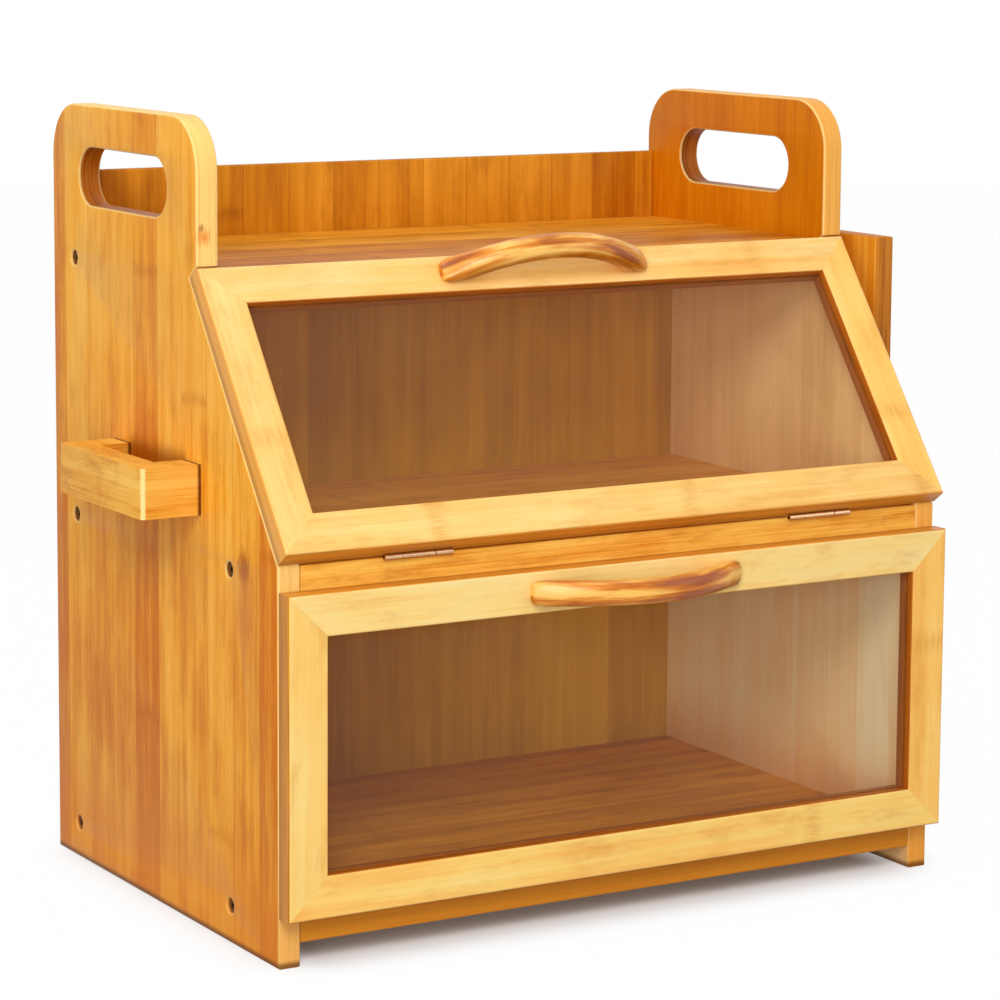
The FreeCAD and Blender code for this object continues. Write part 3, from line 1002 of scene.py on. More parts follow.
class Repeater:
    """Sets copies of one item at spots with Geometry Nodes, and gives the result as a plain mesh."""

    def __init__(self) -> None:
        """Builds the tree, with the item, its finish and its scale as inputs."""
        self.tree = bpy.data.node_groups.new("copies_at_spots", "GeometryNodeTree")
        face = self.tree.interface
        face.new_socket("Spots", in_out="INPUT", socket_type="NodeSocketGeometry")
        self.item, self.paint, self.grow = (
            face.new_socket(label, in_out="INPUT", socket_type=f"NodeSocket{kind}").identifier
            for label, kind in (("Item", "Object"), ("Finish", "Material"), ("Scale", "Float")))
        face.new_socket("Copies", in_out="OUTPUT", socket_type="NodeSocketGeometry")
        graph = Graph(self.tree)
        given = graph.node("NodeGroupInput").outputs
        item = graph.node("GeometryNodeObjectInfo", None, {"Object": given["Item"]})
        aim, size = (graph.node("GeometryNodeInputNamedAttribute", {"data_type": "FLOAT_VECTOR"},
                                {"Name": key}).outputs[0] for key in ("aim", "size"))
        turn = graph.node("FunctionNodeAlignRotationToVector", {"axis": "Z"}, {"Vector": aim})
        scaled = graph.node("ShaderNodeVectorMath", {"operation": "SCALE"},
                            {0: size, "Scale": given["Scale"]})
        copies = graph.node("GeometryNodeInstanceOnPoints", None, {
            "Points": given["Spots"], "Instance": item.outputs["Geometry"], "Rotation": turn.outputs[0],
            "Scale": scaled.outputs[0]})
        real = graph.node("GeometryNodeRealizeInstances", None, {0: copies.outputs[0]})
        painted = graph.node("GeometryNodeSetMaterial", None, {
            "Geometry": real.outputs[0], "Material": given["Finish"]})
        graph.close(painted, "NodeGroupOutput")

    def run(self, name: str, item: bpy.types.Mesh, spots: Sequence[Spot], paint: bpy.types.Material,
            scale: float = 1.0) -> bpy.types.Object:
        """Makes one piece of many copies.

        Args:
            name: Name of the piece.
            item: The mesh that is repeated.
            spots: Where the copies go.
            paint: Their material.
            scale: Size of every copy.

        Returns:
            The piece, a plain mesh at the origin.
        """
        points = bpy.data.meshes.new(f"{name}_spots")
        points.from_pydata([tuple(s.place) for s in spots], [], [])
        for key in ("aim", "size"):
            values = [c for s in spots for c in getattr(s, key)]
            points.attributes.new(key, "FLOAT_VECTOR", "POINT").data.foreach_set("vector", values)
        carrier = new_piece(f"{name}_carrier", points)
        pattern = new_piece(f"{name}_pattern", item)
        modifier = carrier.modifiers.new("copies", "NODES")
        modifier.node_group = self.tree
        modifier[self.item] = pattern
        modifier[self.paint] = paint
        modifier[self.grow] = scale
        graph = bpy.context.evaluated_depsgraph_get()
        mesh = bpy.data.meshes.new_from_object(carrier.evaluated_get(graph), depsgraph=graph)
        mesh.name = name
        bpy.data.objects.remove(carrier)
        bpy.data.objects.remove(pattern)
        return new_piece(name, mesh)


class Workshop:
    """What every sub-assembly needs: the frame, the finishes and the repeater."""

    def __init__(self, frame: dict) -> None:
        """Keeps the frame.

        Args:
            frame: What the frame's loader gives.
        """
        self.frame = frame
        self.paint = Paintbox()
        self.repeater = Repeater()

    def dress(self, node: str, finish: Finish) -> None:
        """Gives a solid of the frame its finish."""
        self.paint.dress(self.frame["nodes"][node], finish)
        LOG.info("%s: %s", node, finish.name)

    def seat(self, piece: bpy.types.Object, body: str, finish: Finish, nodes: Iterable[str]) -> None:
        """Gives a made piece its finish, its body and the solids that it stands for.

        Args:
            piece: The piece.
            body: The body that it moves with.
            finish: Its finish.
            nodes: The solids that it stands for.
        """
        self.paint.dress(piece, finish)
        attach(piece, body)
        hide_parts(*nodes)
        LOG.info("%s: %s, %d faces, on %s", piece.name, finish.name, len(piece.data.polygons), body)

    def copies(self, name: str, item: bpy.types.Mesh, spots: Sequence[Spot], body: str, finish: Finish,
               node: str) -> None:
        """Sets copies of an item at spots, as one piece.

        Args:
            name: Name of the piece.
            item: The mesh that is repeated.
            spots: Where the copies go.
            body: The body that they move with.
            finish: Their finish.
            node: The solid that they stand for.
        """
        piece = self.repeater.run(name, item, spots, self.paint.get(finish))
        self.seat(piece, body, finish, [node])

    def block(self, node: str, body: str, finish: Finish, radius: float) -> None:
        """Makes a rounded block in place of a plain board of the frame.

        Args:
            node: The board's solid.
            body: The body that it moves with.
            finish: Its finish.
            radius: Radius of its edges.
        """
        low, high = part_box(node)
        piece = new_piece(f"{node}_eased", rounded_block(node, low, high, radius))
        self.seat(piece, body, finish, [node])

    def hinge_place(self, joint: str) -> Vector:
        """Gives the place of a joint's axis."""
        found = next(j for j in self.frame["joints"] if j["name"] == joint)
        return Vector(found["pos_m"])


# Sub-assemblies

UPPER_LEAN = math.radians(36.5)


@dataclass
class Slope:
    """The line that the upper door closes on, in the plane of a side panel."""

    pivot: Vector
    lean: float = UPPER_LEAN
    door_top: float = 164.95 * MM
    behind: float = 1.55 * MM
    ledge_gap: float = 0.8 * MM

    def point(self, along: float, behind: float) -> tuple[float, float]:
        """Gives the (y, z) of a point by its distance along the door and behind it.

        Args:
            along: Distance up the door from its hinge.
            behind: Distance behind the hinge's line.

        Returns:
            The point's y and z.
        """
        y = self.pivot.y + along * math.sin(self.lean) + behind * math.cos(self.lean)
        z = self.pivot.z + along * math.cos(self.lean) - behind * math.sin(self.lean)
        return y, z


@dataclass
class SidePanel:
    """A side panel with its sloping front edge, its ear and its hand hole."""

    slope: Slope
    thick: float = 12.5 * MM
    half: float = 200.0 * MM
    front: float = -113.9 * MM
    back: float = 154.1 * MM
    height: float = 416.0 * MM
    ear_front: float = -24.7 * MM
    ear_radius: float = 28.0 * MM
    hole_length: float = 109.0 * MM
    hole_height: float = 31.0 * MM
    hole_drop: float = 38.0 * MM
    edge: float = 1.3 * MM
    screw_hole: float = 3.9 * MM
    screw_spots: tuple[tuple[float, float], ...] = (
        (126.6 * MM, 332.75 * MM), (126.6 * MM, 192.25 * MM), (126.6 * MM, 19.25 * MM),
        (-60.4 * MM, 192.25 * MM), (-60.4 * MM, 19.25 * MM))

    def arc(self, y: float, z: float, radius: float, start: float, end: float,
            steps: int = 14) -> list[tuple[float, float]]:
        """Gives points along an arc.

        Args:
            y: Its middle.
            z: Its middle.
            radius: Its radius.
            start: First angle in degrees.
            end: Last angle in degrees.
            steps: Number of runs.

        Returns:
            The points.
        """
        angles = [math.radians(start + (end - start) * k / steps) for k in range(steps + 1)]
        return [(y + radius * math.cos(a), z + radius * math.sin(a)) for a in angles]

    def outline(self) -> list[tuple[float, float]]:
        """Gives the outline against the clock, seen from the right."""
        s = self.slope
        knee = (self.front - s.pivot.y - s.behind * math.cos(s.lean)) / math.sin(s.lean)
        top = s.door_top + s.ledge_gap
        out = (s.pivot.y + top * math.sin(s.lean) - self.ear_front) / math.cos(s.lean)
        r = self.ear_radius
        ear = self.arc(self.back - r, self.height - r, r, 0, 90)
        ear += self.arc(self.ear_front + r, self.height - r, r, 90, 180)
        return [(self.front, 0.0), (self.back, 0.0), *ear, s.point(top, -out), s.point(top, s.behind),
                (self.front, s.point(knee, s.behind)[1])]

    def hand_hole(self) -> list[tuple[float, float]]:
        """Gives the outline of the hand hole with the clock."""
        r = self.hole_height / 2
        run = self.hole_length / 2 - r
        y, z = (self.ear_front + self.back) / 2, self.height - self.hole_drop
        return self.arc(y + run, z, r, 90, -90, 20) + self.arc(y - run, z, r, 270, 90, 20)

    def zone(self, face: bpy.types.MeshPolygon) -> Zone:
        """Tells what a face is part of."""
        if abs(face.normal.x) > 0.95:
            return Zone.PANEL
        off_y = abs(face.center.y - (self.ear_front + self.back) / 2) - self.hole_length / 2
        off_z = abs(face.center.z - self.height + self.hole_drop) - self.hole_height / 2
        if max(off_y, off_z) < self.edge:
            return Zone.HAND_HOLE
        away = min(math.hypot(face.center.y - y, face.center.z - z) for y, z in self.screw_spots)
        return Zone.SCREW_HOLE if away < self.screw_hole + self.edge else Zone.PANEL

    def mesh(self, name: str, side: Side) -> bpy.types.Mesh:
        """Makes the panel from a filled curve with rounded edges.

        Args:
            name: Name of the mesh.
            side: The side of the box that it is on.

        Returns:
            The mesh in its place.
        """
        curve = bpy.data.curves.new(name, "CURVE")
        curve.dimensions = "2D"
        curve.fill_mode = "BOTH"
        curve.extrude = self.thick / 2 - self.edge
        curve.bevel_depth = self.edge
        curve.bevel_resolution = 2
        curve.offset = -self.edge
        holes = [self.arc(y, z, self.screw_hole, 360, 0, 24)[:-1] for y, z in self.screw_spots]
        for loop in [self.outline(), self.hand_hole(), *holes]:
            spline = curve.splines.new("POLY")
            spline.points.add(len(loop) - 1)
            spline.points.foreach_set("co", [c for y, z in loop for c in (y, z, 0.0, 1.0)])
            spline.use_cyclic_u = True
        carrier = bpy.data.objects.new(name, curve)
        bpy.context.scene.collection.objects.link(carrier)
        graph = bpy.context.evaluated_depsgraph_get()
        mesh = bpy.data.meshes.new_from_object(carrier.evaluated_get(graph), depsgraph=graph)
        bpy.data.objects.remove(carrier)
        middle = side.value * (self.half - self.thick / 2)
        upright = Matrix(((0, 0, 1, middle), (1, 0, 0, 0), (0, 1, 0, 0), (0, 0, 0, 1)))
        mesh.transform(upright)
        work = bmesh.new()
        work.from_mesh(mesh)
        bmesh.ops.remove_doubles(work, verts=work.verts, dist=1e-6)
        return mesh_from(name, work, 35.0)


@dataclass
class Carcass:
    """Side panels, boards, back panels, upstand, their screws and the magnets."""

    shop: Workshop
    screw: Screw = Screw(1.75 * MM, 3.4 * MM, 32.0 * MM, 1.25 * MM)
    screw_sink: float = 1.6 * MM
    magnet_radius: float = 4.0 * MM
    magnet_deep: float = 3.0 * MM
    magnet_edge: float = 0.3 * MM
    magnet_proud: float = 0.12 * MM
    magnet_drop: float = 17.0 * MM
    upstand_edge: float = 1.0 * MM

    def build(self) -> None:
        """Makes and dresses all of the carcass."""
        self.boards()
        panel = SidePanel(Slope(self.shop.hinge_place("upper_door_hinge")))
        for side in Side:
            self.side(panel, side)
        self.magnets(panel)

    def side_finish(self, panel: SidePanel, side: Side) -> Bamboo:
        """Gives the finish of a side panel.

        Args:
            panel: The panel's sizes.
            side: The side of the box that it is on.

        Returns:
            The finish, with painted shade lower down, darker towards the foot, painted light on its inner
            walls, painted shade on its ear's inner face and in the knife slot, and the left panel's knots.
        """
        # Darker towards the foot, with a dark line along the bottom edge.
        creases = [Crease(tint(232, 136, 30), Axis.Z, 0.0, 70.0, 0.45),
                   Crease(tint(96, 44, 4), Axis.Z, 0.0, 4.5, 0.8)]
        finish = replace(
            HONEY, name=f"honey_bamboo_{side.name.lower()}_side", seed=2.0 + side.value, shift=7.0,
            tones=Tones.seen((208, 112, 6), (242, 165, 48), (250, 188, 82)), rim_share=1.0, end_grain=0.0,
            wear_and_highlight=0.5, low_shade=0.18, strip_spread=0.45, fibre=0.8, fibre_fine=1.15, fibre_long=0.03, mottle=0.75,
            blotch=0.35,
            patches=tuple(replace(p, side=-side.value) for p in (GREY_WALL_PAINTED_LIGHT, SAND_WALL_PAINTED_LIGHT, AMBER_EAR_SHADE)))
        if side is Side.RIGHT:
            return replace(finish, rim=tint(246, 178, 82), creases=tuple(creases),
                           thick_shift=(panel.thick - panel.half) * MM_IN_M)
        top = MM_IN_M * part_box("knife_holder_bar")[1].z
        near = MM_IN_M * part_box("knife_holder_front_block")[1].y
        far = MM_IN_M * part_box("knife_holder_rear_block")[0].y
        # Painted shade on the panel's wall inside the knife slot, between the holder's blocks.
        creases.append(Crease(tint(148, 68, 0), Axis.Z, top - 8.0, 16.0, 0.75, (near, far), side.value))
        knots = (Knot((-200.0, -77.0, 196.0), 9.5, 0.8),
                 Knot((-196.0, -24.0, 356.0), 5.0, 0.8, tint(234, 136, 50)),
                 Knot((-197.0, -24.0, 360.5), 2.6, 0.8, tint(150, 84, 12)))
        return replace(finish, rim=tint(254, 207, 120), creases=tuple(creases), knots=knots,
                       thick_shift=panel.half * MM_IN_M)

    def side(self, panel: SidePanel, side: Side) -> None:
        """Makes one side panel and its screws.

        Args:
            panel: The panel's sizes.
            side: The side of the box that it is on.
        """
        name = side.name.lower()
        finish = self.side_finish(panel, side)
        piece = new_piece(f"side_panel_{name}_eased", panel.mesh(f"side_panel_{name}", side))
        self.shop.seat(piece, "carcass", finish, [f"side_panel_{name}"])
        # Painted shade: the walls of the hand hole and of the screw holes are darker, for the shade inside
        # them.
        hand_hole_shade = replace(finish, name=f"honey_bamboo_{name}_hand_hole", rim=tint(164, 88, 16),
                         rim_dark=tint(104, 48, 2), rim_streak=0.8)
        screw_hole_shade = replace(finish, name=f"honey_bamboo_{name}_drilled", rim=tint(150, 80, 16))
        for extra in (hand_hole_shade, screw_hole_shade):
            piece.data.materials.append(self.shop.paint.get(extra))
        for face in piece.data.polygons:
            face.material_index = panel.zone(face).value
        x = side.value * (panel.half - self.screw_sink)
        spots = [Spot(Vector((x, y, z)), Vector((side.value, 0, 0))) for y, z in panel.screw_spots]
        self.shop.copies(f"panel_screws_{name}_turned", self.screw.mesh("panel_screw"), spots, "carcass",
                         DARK_STEEL, f"panel_screws_{name}")

    def boards(self) -> None:
        """Dresses the boards between the side panels."""
        floor = replace(AMBER, grain=Axis.X, across=Axis.Y, rim=tint(216, 136, 36), rim_share=1.0,
                        tones=Tones.seen((206, 134, 30), (234, 162, 46), (242, 178, 68)),
                        thick_shift=-12.0, node_strength=0.25)
        wall = replace(AMBER, grain=Axis.Z, across=Axis.X, node_strength=0.25, fibre_fine=1.2)
        plan: dict[str, Finish] = {
            "bottom_board": replace(floor, name="amber_bamboo_floor", seed=3.0),
            "mid_shelf": replace(floor, name="amber_bamboo_shelf", seed=4.0),
            "top_shelf": replace(AMBER, name="amber_bamboo_top", grain=Axis.X, across=Axis.Y, seed=5.0,
                                 strip=21.0),
            "cross_rail": replace(HONEY, name="amber_bamboo_rail", grain=Axis.X, across=Axis.Z, seed=6.0,
                                  tones=Tones.seen((220, 134, 28), (250, 190, 80), (253, 206, 108)),
                                  strip=60.0, fibre=0.8),
            "back_panel_lower": replace(wall, name="amber_bamboo_back_low", seed=7.0, patches=(TAN_WALL,)),
            "back_panel_upper": replace(wall, name="amber_bamboo_back_high", seed=8.0, patches=(BROWN_WALL,)),
            "lower_catch_magnets": STEEL,
        }
        for node, finish in plan.items():
            self.shop.dress(node, finish)
        upstand = replace(AMBER, name="amber_bamboo_upstand", grain=Axis.Z, across=Axis.X, seed=9.0,
                          tones=Tones.seen((176, 96, 8), (208, 132, 22), (232, 156, 42)), strip_spread=0.35,
                          fibre=0.6, mottle=0.7)
        self.shop.block("upstand", "carcass", upstand, self.upstand_edge)

    def magnets(self, panel: SidePanel) -> None:
        """Makes the upper catch's magnets, let into the sloping edges.

        Args:
            panel: The panel that holds them.
        """
        slope = panel.slope
        y, z = slope.point(slope.door_top - self.magnet_drop, slope.behind - self.magnet_proud)
        aim = Vector((0, -math.cos(slope.lean), math.sin(slope.lean)))
        middle = panel.half - panel.thick / 2
        spots = [Spot(Vector((side.value * middle, y, z)), aim) for side in Side]
        r, edge = self.magnet_radius, self.magnet_edge
        item = lathe("magnet", [(r, -self.magnet_deep), (r, -edge), (r - edge, 0.0)])
        self.shop.copies("upper_catch_magnets_turned", item, spots, "carcass", STEEL, "upper_catch_magnets")


@dataclass
class Handle:
    """A bow handle: a softly rounded bar between two arcs, with a foot at each end."""

    span: float = 126.0 * MM
    reach: float = 28.5 * MM
    bar: float = 11.0 * MM
    high: float = 13.0 * MM
    foot: float = 16.0 * MM
    edge: float = 4.0 * MM
    tip_round: float = 5.0 * MM
    tip_share: float = 0.55
    foot_sink: float = 0.3 * MM
    bulge: float = 2.7
    steps_along: int = 72
    steps_round: int = 28

    @staticmethod
    def bow(x: float, half: float, low: float, peak: float) -> float:
        """Gives how far out an arc is.

        Args:
            x: Place along the handle.
            half: Half the length of the arc's chord.
            low: How far out the arc's ends are.
            peak: How far out the arc's middle is.

        Returns:
            The arc's distance from the door at x.
        """
        sag = peak - low
        radius = (half * half + sag * sag) / (2 * sag)
        return peak - radius + math.sqrt(max(radius * radius - x * x, 0.0))

    def section(self, x: float) -> tuple[float, float, float]:
        """Gives the section's middle, half depth and half height at a place along the handle."""
        end, inner = self.span / 2, self.span / 2 - self.foot
        outer = self.bow(x, end, self.edge, self.reach)
        back = self.bow(x, inner, 0.0, self.reach - self.bar) if abs(x) < inner else 0.0
        back = max(back, 0.0) - (self.foot_sink if abs(x) >= inner else 0.0)
        over = max(abs(x) - (end - self.tip_round), 0.0) / self.tip_round
        full = math.sqrt(max(1.0 - over * over, 0.0))
        half_high = self.high / 2 * (self.tip_share + (1.0 - self.tip_share) * full)
        return (outer + back) / 2, (outer - back) / 2, half_high

    def mesh(self, name: str) -> bpy.types.Mesh:
        """Makes the handle lying along X, standing out along -Y, with its feet at y = 0.

        Args:
            name: Name of the mesh.

        Returns:
            The closed mesh.
        """
        work = bmesh.new()
        power = 2 / self.bulge
        rings = []
        for k in range(self.steps_along + 1):
            x = -self.span / 2 * math.cos(math.pi * k / self.steps_along)
            middle, deep, tall = self.section(x)
            ring = []
            for n in range(self.steps_round):
                angle = 2 * math.pi * n / self.steps_round
                c, s = math.cos(angle), math.sin(angle)
                y = middle + deep * math.copysign(abs(c) ** power, c)
                z = tall * math.copysign(abs(s) ** power, s)
                ring.append(work.verts.new((x, -y, z)))
            rings.append(ring)
        join_rings(work, rings)
        return mesh_from(name, work, 60.0)


@dataclass
class Hinges:
    """The two butt hinges of one door."""

    shop: Workshop
    door: str
    body: str
    pivot: Vector
    open_turn: float
    out: float = 122.3 * MM
    length: float = 39.0 * MM
    barrel: float = 1.6 * MM
    pin: float = 0.8 * MM
    leaf_thick: float = 0.9 * MM
    leaf_reach: float = 10.5 * MM
    leaf_offset: float = 0.15 * MM
    end_knuckle: float = 10.0 * MM
    knuckle_gap: float = 0.3 * MM
    knuckle_edge: float = 0.12
    knuckle_end: float = 0.012
    knuckle_steps: int = 28
    knuckle_reach: float = 0.2 * MM
    leaf_edge: float = 0.12 * MM
    screw_out: float = 12.5 * MM
    screw_share: float = 0.65
    screw_proud: float = 0.03 * MM
    screw: Screw = Screw(0.9 * MM, 1.6 * MM, 6.0 * MM, 0.6 * MM)

    def build(self) -> None:
        """Makes the leaves with their knuckles and pins, on the door and on the carcass."""
        middle = self.length - 2 * (self.end_knuckle + self.knuckle_gap)
        side = (self.length - self.end_knuckle) / 2
        self.leaves(Leaf.DOOR, self.body, self.open_turn, [(0.0, middle)])
        self.leaves(Leaf.FIXED, "carcass", 0.0, [(-side, self.end_knuckle), (side, self.end_knuckle)])

    def knuckle_spots(self, knuckles: list[tuple[float, float]], pinned: bool) -> list[Spot]:
        """Gives the spots of the knuckles, and of the pins if these leaves hold them."""
        rods = [(middle, self.barrel, long) for middle, long in knuckles]
        if pinned:
            rods.append((0.0, self.pin, self.length))
        along = Vector((1, 0, 0))
        return [Spot(self.pivot + along * (out + middle), along, Vector((radius, radius, long)))
                for out in (-self.out, self.out) for middle, radius, long in rods]

    def leaves(self, leaf: Leaf, body: str, turn: float, knuckles: list[tuple[float, float]]) -> None:
        """Makes the two leaves of one kind.

        Args:
            leaf: Which leaf of each hinge.
            body: The body that they move with.
            turn: How far they are turned about the hinge's axis.
            knuckles: Middle and length of each knuckle along the hinge.
        """
        place = Matrix.Translation(self.pivot) @ Matrix.Rotation(turn, 4, "X")
        rim, end = 1.0 - self.knuckle_edge, 0.5 - self.knuckle_end
        item = lathe("knuckle", [(rim, -0.5), (1.0, -end), (1.0, end), (rim, 0.5)], self.knuckle_steps)
        spots = self.knuckle_spots(knuckles, leaf is Leaf.FIXED)
        piece = self.shop.repeater.run(f"{self.door}_hinge_{leaf.value}_pair", item, spots,
                                       self.shop.paint.get(STEEL))
        work = bmesh.new()
        work.from_mesh(piece.data)
        bottom, top = -self.leaf_offset - self.leaf_thick, -self.leaf_offset
        for out in (-self.out, self.out):
            plates = [(out, self.length, self.barrel, self.leaf_reach)]
            plates += [(out + middle, long, 0.0, self.barrel + self.knuckle_reach)
                       for middle, long in knuckles]
            for middle, long, near, far in plates:
                plate = rounded_block("plate", Vector((middle - long / 2, near, bottom)),
                                      Vector((middle + long / 2, far, top)), self.leaf_edge)
                plate.transform(place)
                work.from_mesh(plate)
                bpy.data.meshes.remove(plate)
        piece.data = mesh_from(piece.name, work)
        parts = [leaf.value] + (["pin"] if leaf is Leaf.FIXED else [])
        nodes = [f"{self.door}_{side.name.lower()}_hinge_{part}" for part in parts for side in Side]
        self.shop.seat(piece, body, STEEL, nodes)

    def screw_spots(self, turn: float) -> list[Spot]:
        """Gives the spots of the screws in the leaves that are turned by an angle."""
        spin = Matrix.Rotation(turn, 3, "X")
        proud = self.screw_proud - self.leaf_offset
        found = []
        for out in (-self.out, self.out):
            for along in (-self.screw_out, self.screw_out):
                place = spin @ Vector((out + along, self.leaf_reach * self.screw_share, proud))
                found.append(Spot(self.pivot + place, spin @ Vector((0, 0, 1))))
        return found

    def screws(self, name: str, spots: list[Spot], body: str, node: str) -> None:
        """Makes a set of the small screws.

        Args:
            name: Name of the piece.
            spots: Where they go.
            body: The body that they move with.
            node: The solid that they stand for.
        """
        self.shop.copies(name, self.screw.mesh("leaf_screw"), spots, body, STEEL, node)


@dataclass(frozen=True)
class DoorLook:
    """The finishes of a door's rails, stiles and handle."""

    top_rail: Bamboo
    bottom_rail: Bamboo
    left_stile: Bamboo
    right_stile: Bamboo
    handle: Bamboo


WARM_RIM = tint(232, 150, 46)
# The frames' rims darken towards their backs: painted shade.
FRAME = replace(PALE, strip=30.0, rim=tint(192, 104, 20), rim_back_shade=0.7, rim_streak=0.75)
SUNNY_FRAME = replace(FRAME, tones=Tones.seen((244, 174, 80), (255, 199, 100), (255, 216, 134)))
UPPER_LOOK = DoorLook(
    top_rail=replace(FRAME, seed=1.0, tones=Tones.seen((238, 168, 78), (248, 196, 108), (250, 214, 142))),
    bottom_rail=replace(FRAME, seed=2.0, rim=WARM_RIM),
    left_stile=replace(FRAME, seed=8.0, rim=tint(238, 164, 62), rim_streak=0.3),
    right_stile=replace(SUNNY_FRAME, seed=9.0),
    handle=CARAMEL)
LOWER_LOOK = DoorLook(
    top_rail=replace(FRAME, seed=11.0, rim=WARM_RIM,
                     tones=Tones.seen((238, 178, 88), (251, 213, 128), (249, 221, 150))),
    bottom_rail=replace(FRAME, seed=12.0, tones=Tones.seen((252, 184, 88), (255, 212, 116), (255, 226, 148))),
    left_stile=replace(FRAME, seed=18.0, rim=tint(214, 136, 10),
                       tones=Tones.seen((238, 178, 88), (250, 200, 106), (252, 216, 132))),
    right_stile=replace(SUNNY_FRAME, seed=19.0),
    handle=replace(CARAMEL, tones=Tones.seen((160, 74, 0), (214, 122, 12), (253, 192, 92))))


@dataclass
class Door:
    """One glazed door: its mitred frame, pane, handle, strike plates, hinges and screws."""

    shop: Workshop
    name: str
    lean: float
    pivot: Vector
    look: DoorLook
    front: float = 10.15 * MM
    back: float = 1.05 * MM
    top: float = 164.95 * MM
    frame_wide: float = 22.0 * MM
    half: float = 200.0 * MM
    rim_shade: float = 0.55
    screw_in: float = 55.0 * MM
    screw: Screw = Screw(1.75 * MM, 3.4 * MM, 17.0 * MM, 1.25 * MM)

    @property
    def body(self) -> str:
        """The body that the door is."""
        return f"{self.name}_door"

    @property
    def place(self) -> Matrix:
        """The way from the upright door with its hinge at the origin to its place."""
        return Matrix.Translation(self.pivot) @ Matrix.Rotation(-self.lean, 4, "X")

    def build(self) -> Hinges:
        """Makes and dresses the door.

        Returns:
            Its hinges, whose fixed screws go with those of the other door.
        """
        self.frame()
        self.shop.dress(f"{self.body}_pane", CLEAR)
        self.shop.dress(f"{self.body}_strike_plates", STEEL)
        self.handle()
        hinges = Hinges(self.shop, self.name, self.body, self.pivot, math.pi / 2 - self.lean)
        hinges.build()
        spots = hinges.screw_spots(hinges.open_turn)
        hinges.screws(f"{self.body}_hinge_screws_turned", spots, self.body, f"{self.body}_hinge_screws")
        return hinges

    def frame(self) -> None:
        """Dresses the stiles and rails, each with the grain along its own length."""
        half = self.frame_wide / 2
        plan = [("top_rail", self.look.top_rail, Axis.X, Axis.Z, half - self.top),
                ("bottom_rail", self.look.bottom_rail, Axis.X, Axis.Z, -half),
                ("left_stile", self.look.left_stile, Axis.Z, Axis.X, self.half - half),
                ("right_stile", self.look.right_stile, Axis.Z, Axis.X, half - self.half)]
        for part, wood, grain, across, offset in plan:
            finish = replace(wood, name=f"{wood.name}_{self.name}_{part}", grain=grain, across=across,
                             shift=offset * MM_IN_M + wood.strip / 2, turn=self.lean,
                             rim_dark=tuple(c * self.rim_shade for c in wood.rim), hub=tuple(self.pivot))
            self.shop.dress(f"{self.body}_{part}", finish)

    def handle(self) -> None:
        """Makes the handle and its screws."""
        z = self.top - self.frame_wide / 2
        shape = Handle()
        mesh = shape.mesh(f"{self.body}_handle")
        mesh.transform(self.place @ Matrix.Translation((0.0, -self.front, z)))
        piece = new_piece(f"{self.body}_handle_rounded", mesh)
        finish = replace(self.look.handle, name=f"caramel_bamboo_{self.name}", seed=8.3 - self.lean * 4.2,
                         bow=shape.reach * MM_IN_M, bow_half=shape.span / 2 * MM_IN_M, turn=self.lean,
                         hub=tuple(self.place @ Vector((0, 0, z))))
        self.shop.seat(piece, self.body, finish, [f"{self.body}_handle"])
        aim = (self.place.to_3x3() @ Vector((0, 1, 0))).normalized()
        spots = [Spot(self.place @ Vector((side.value * self.screw_in, self.back, z)), aim) for side in Side]
        self.shop.copies(f"{self.body}_handle_screws_turned", self.screw.mesh("handle_screw"), spots,
                         self.body, STEEL, f"{self.body}_handle_screws")


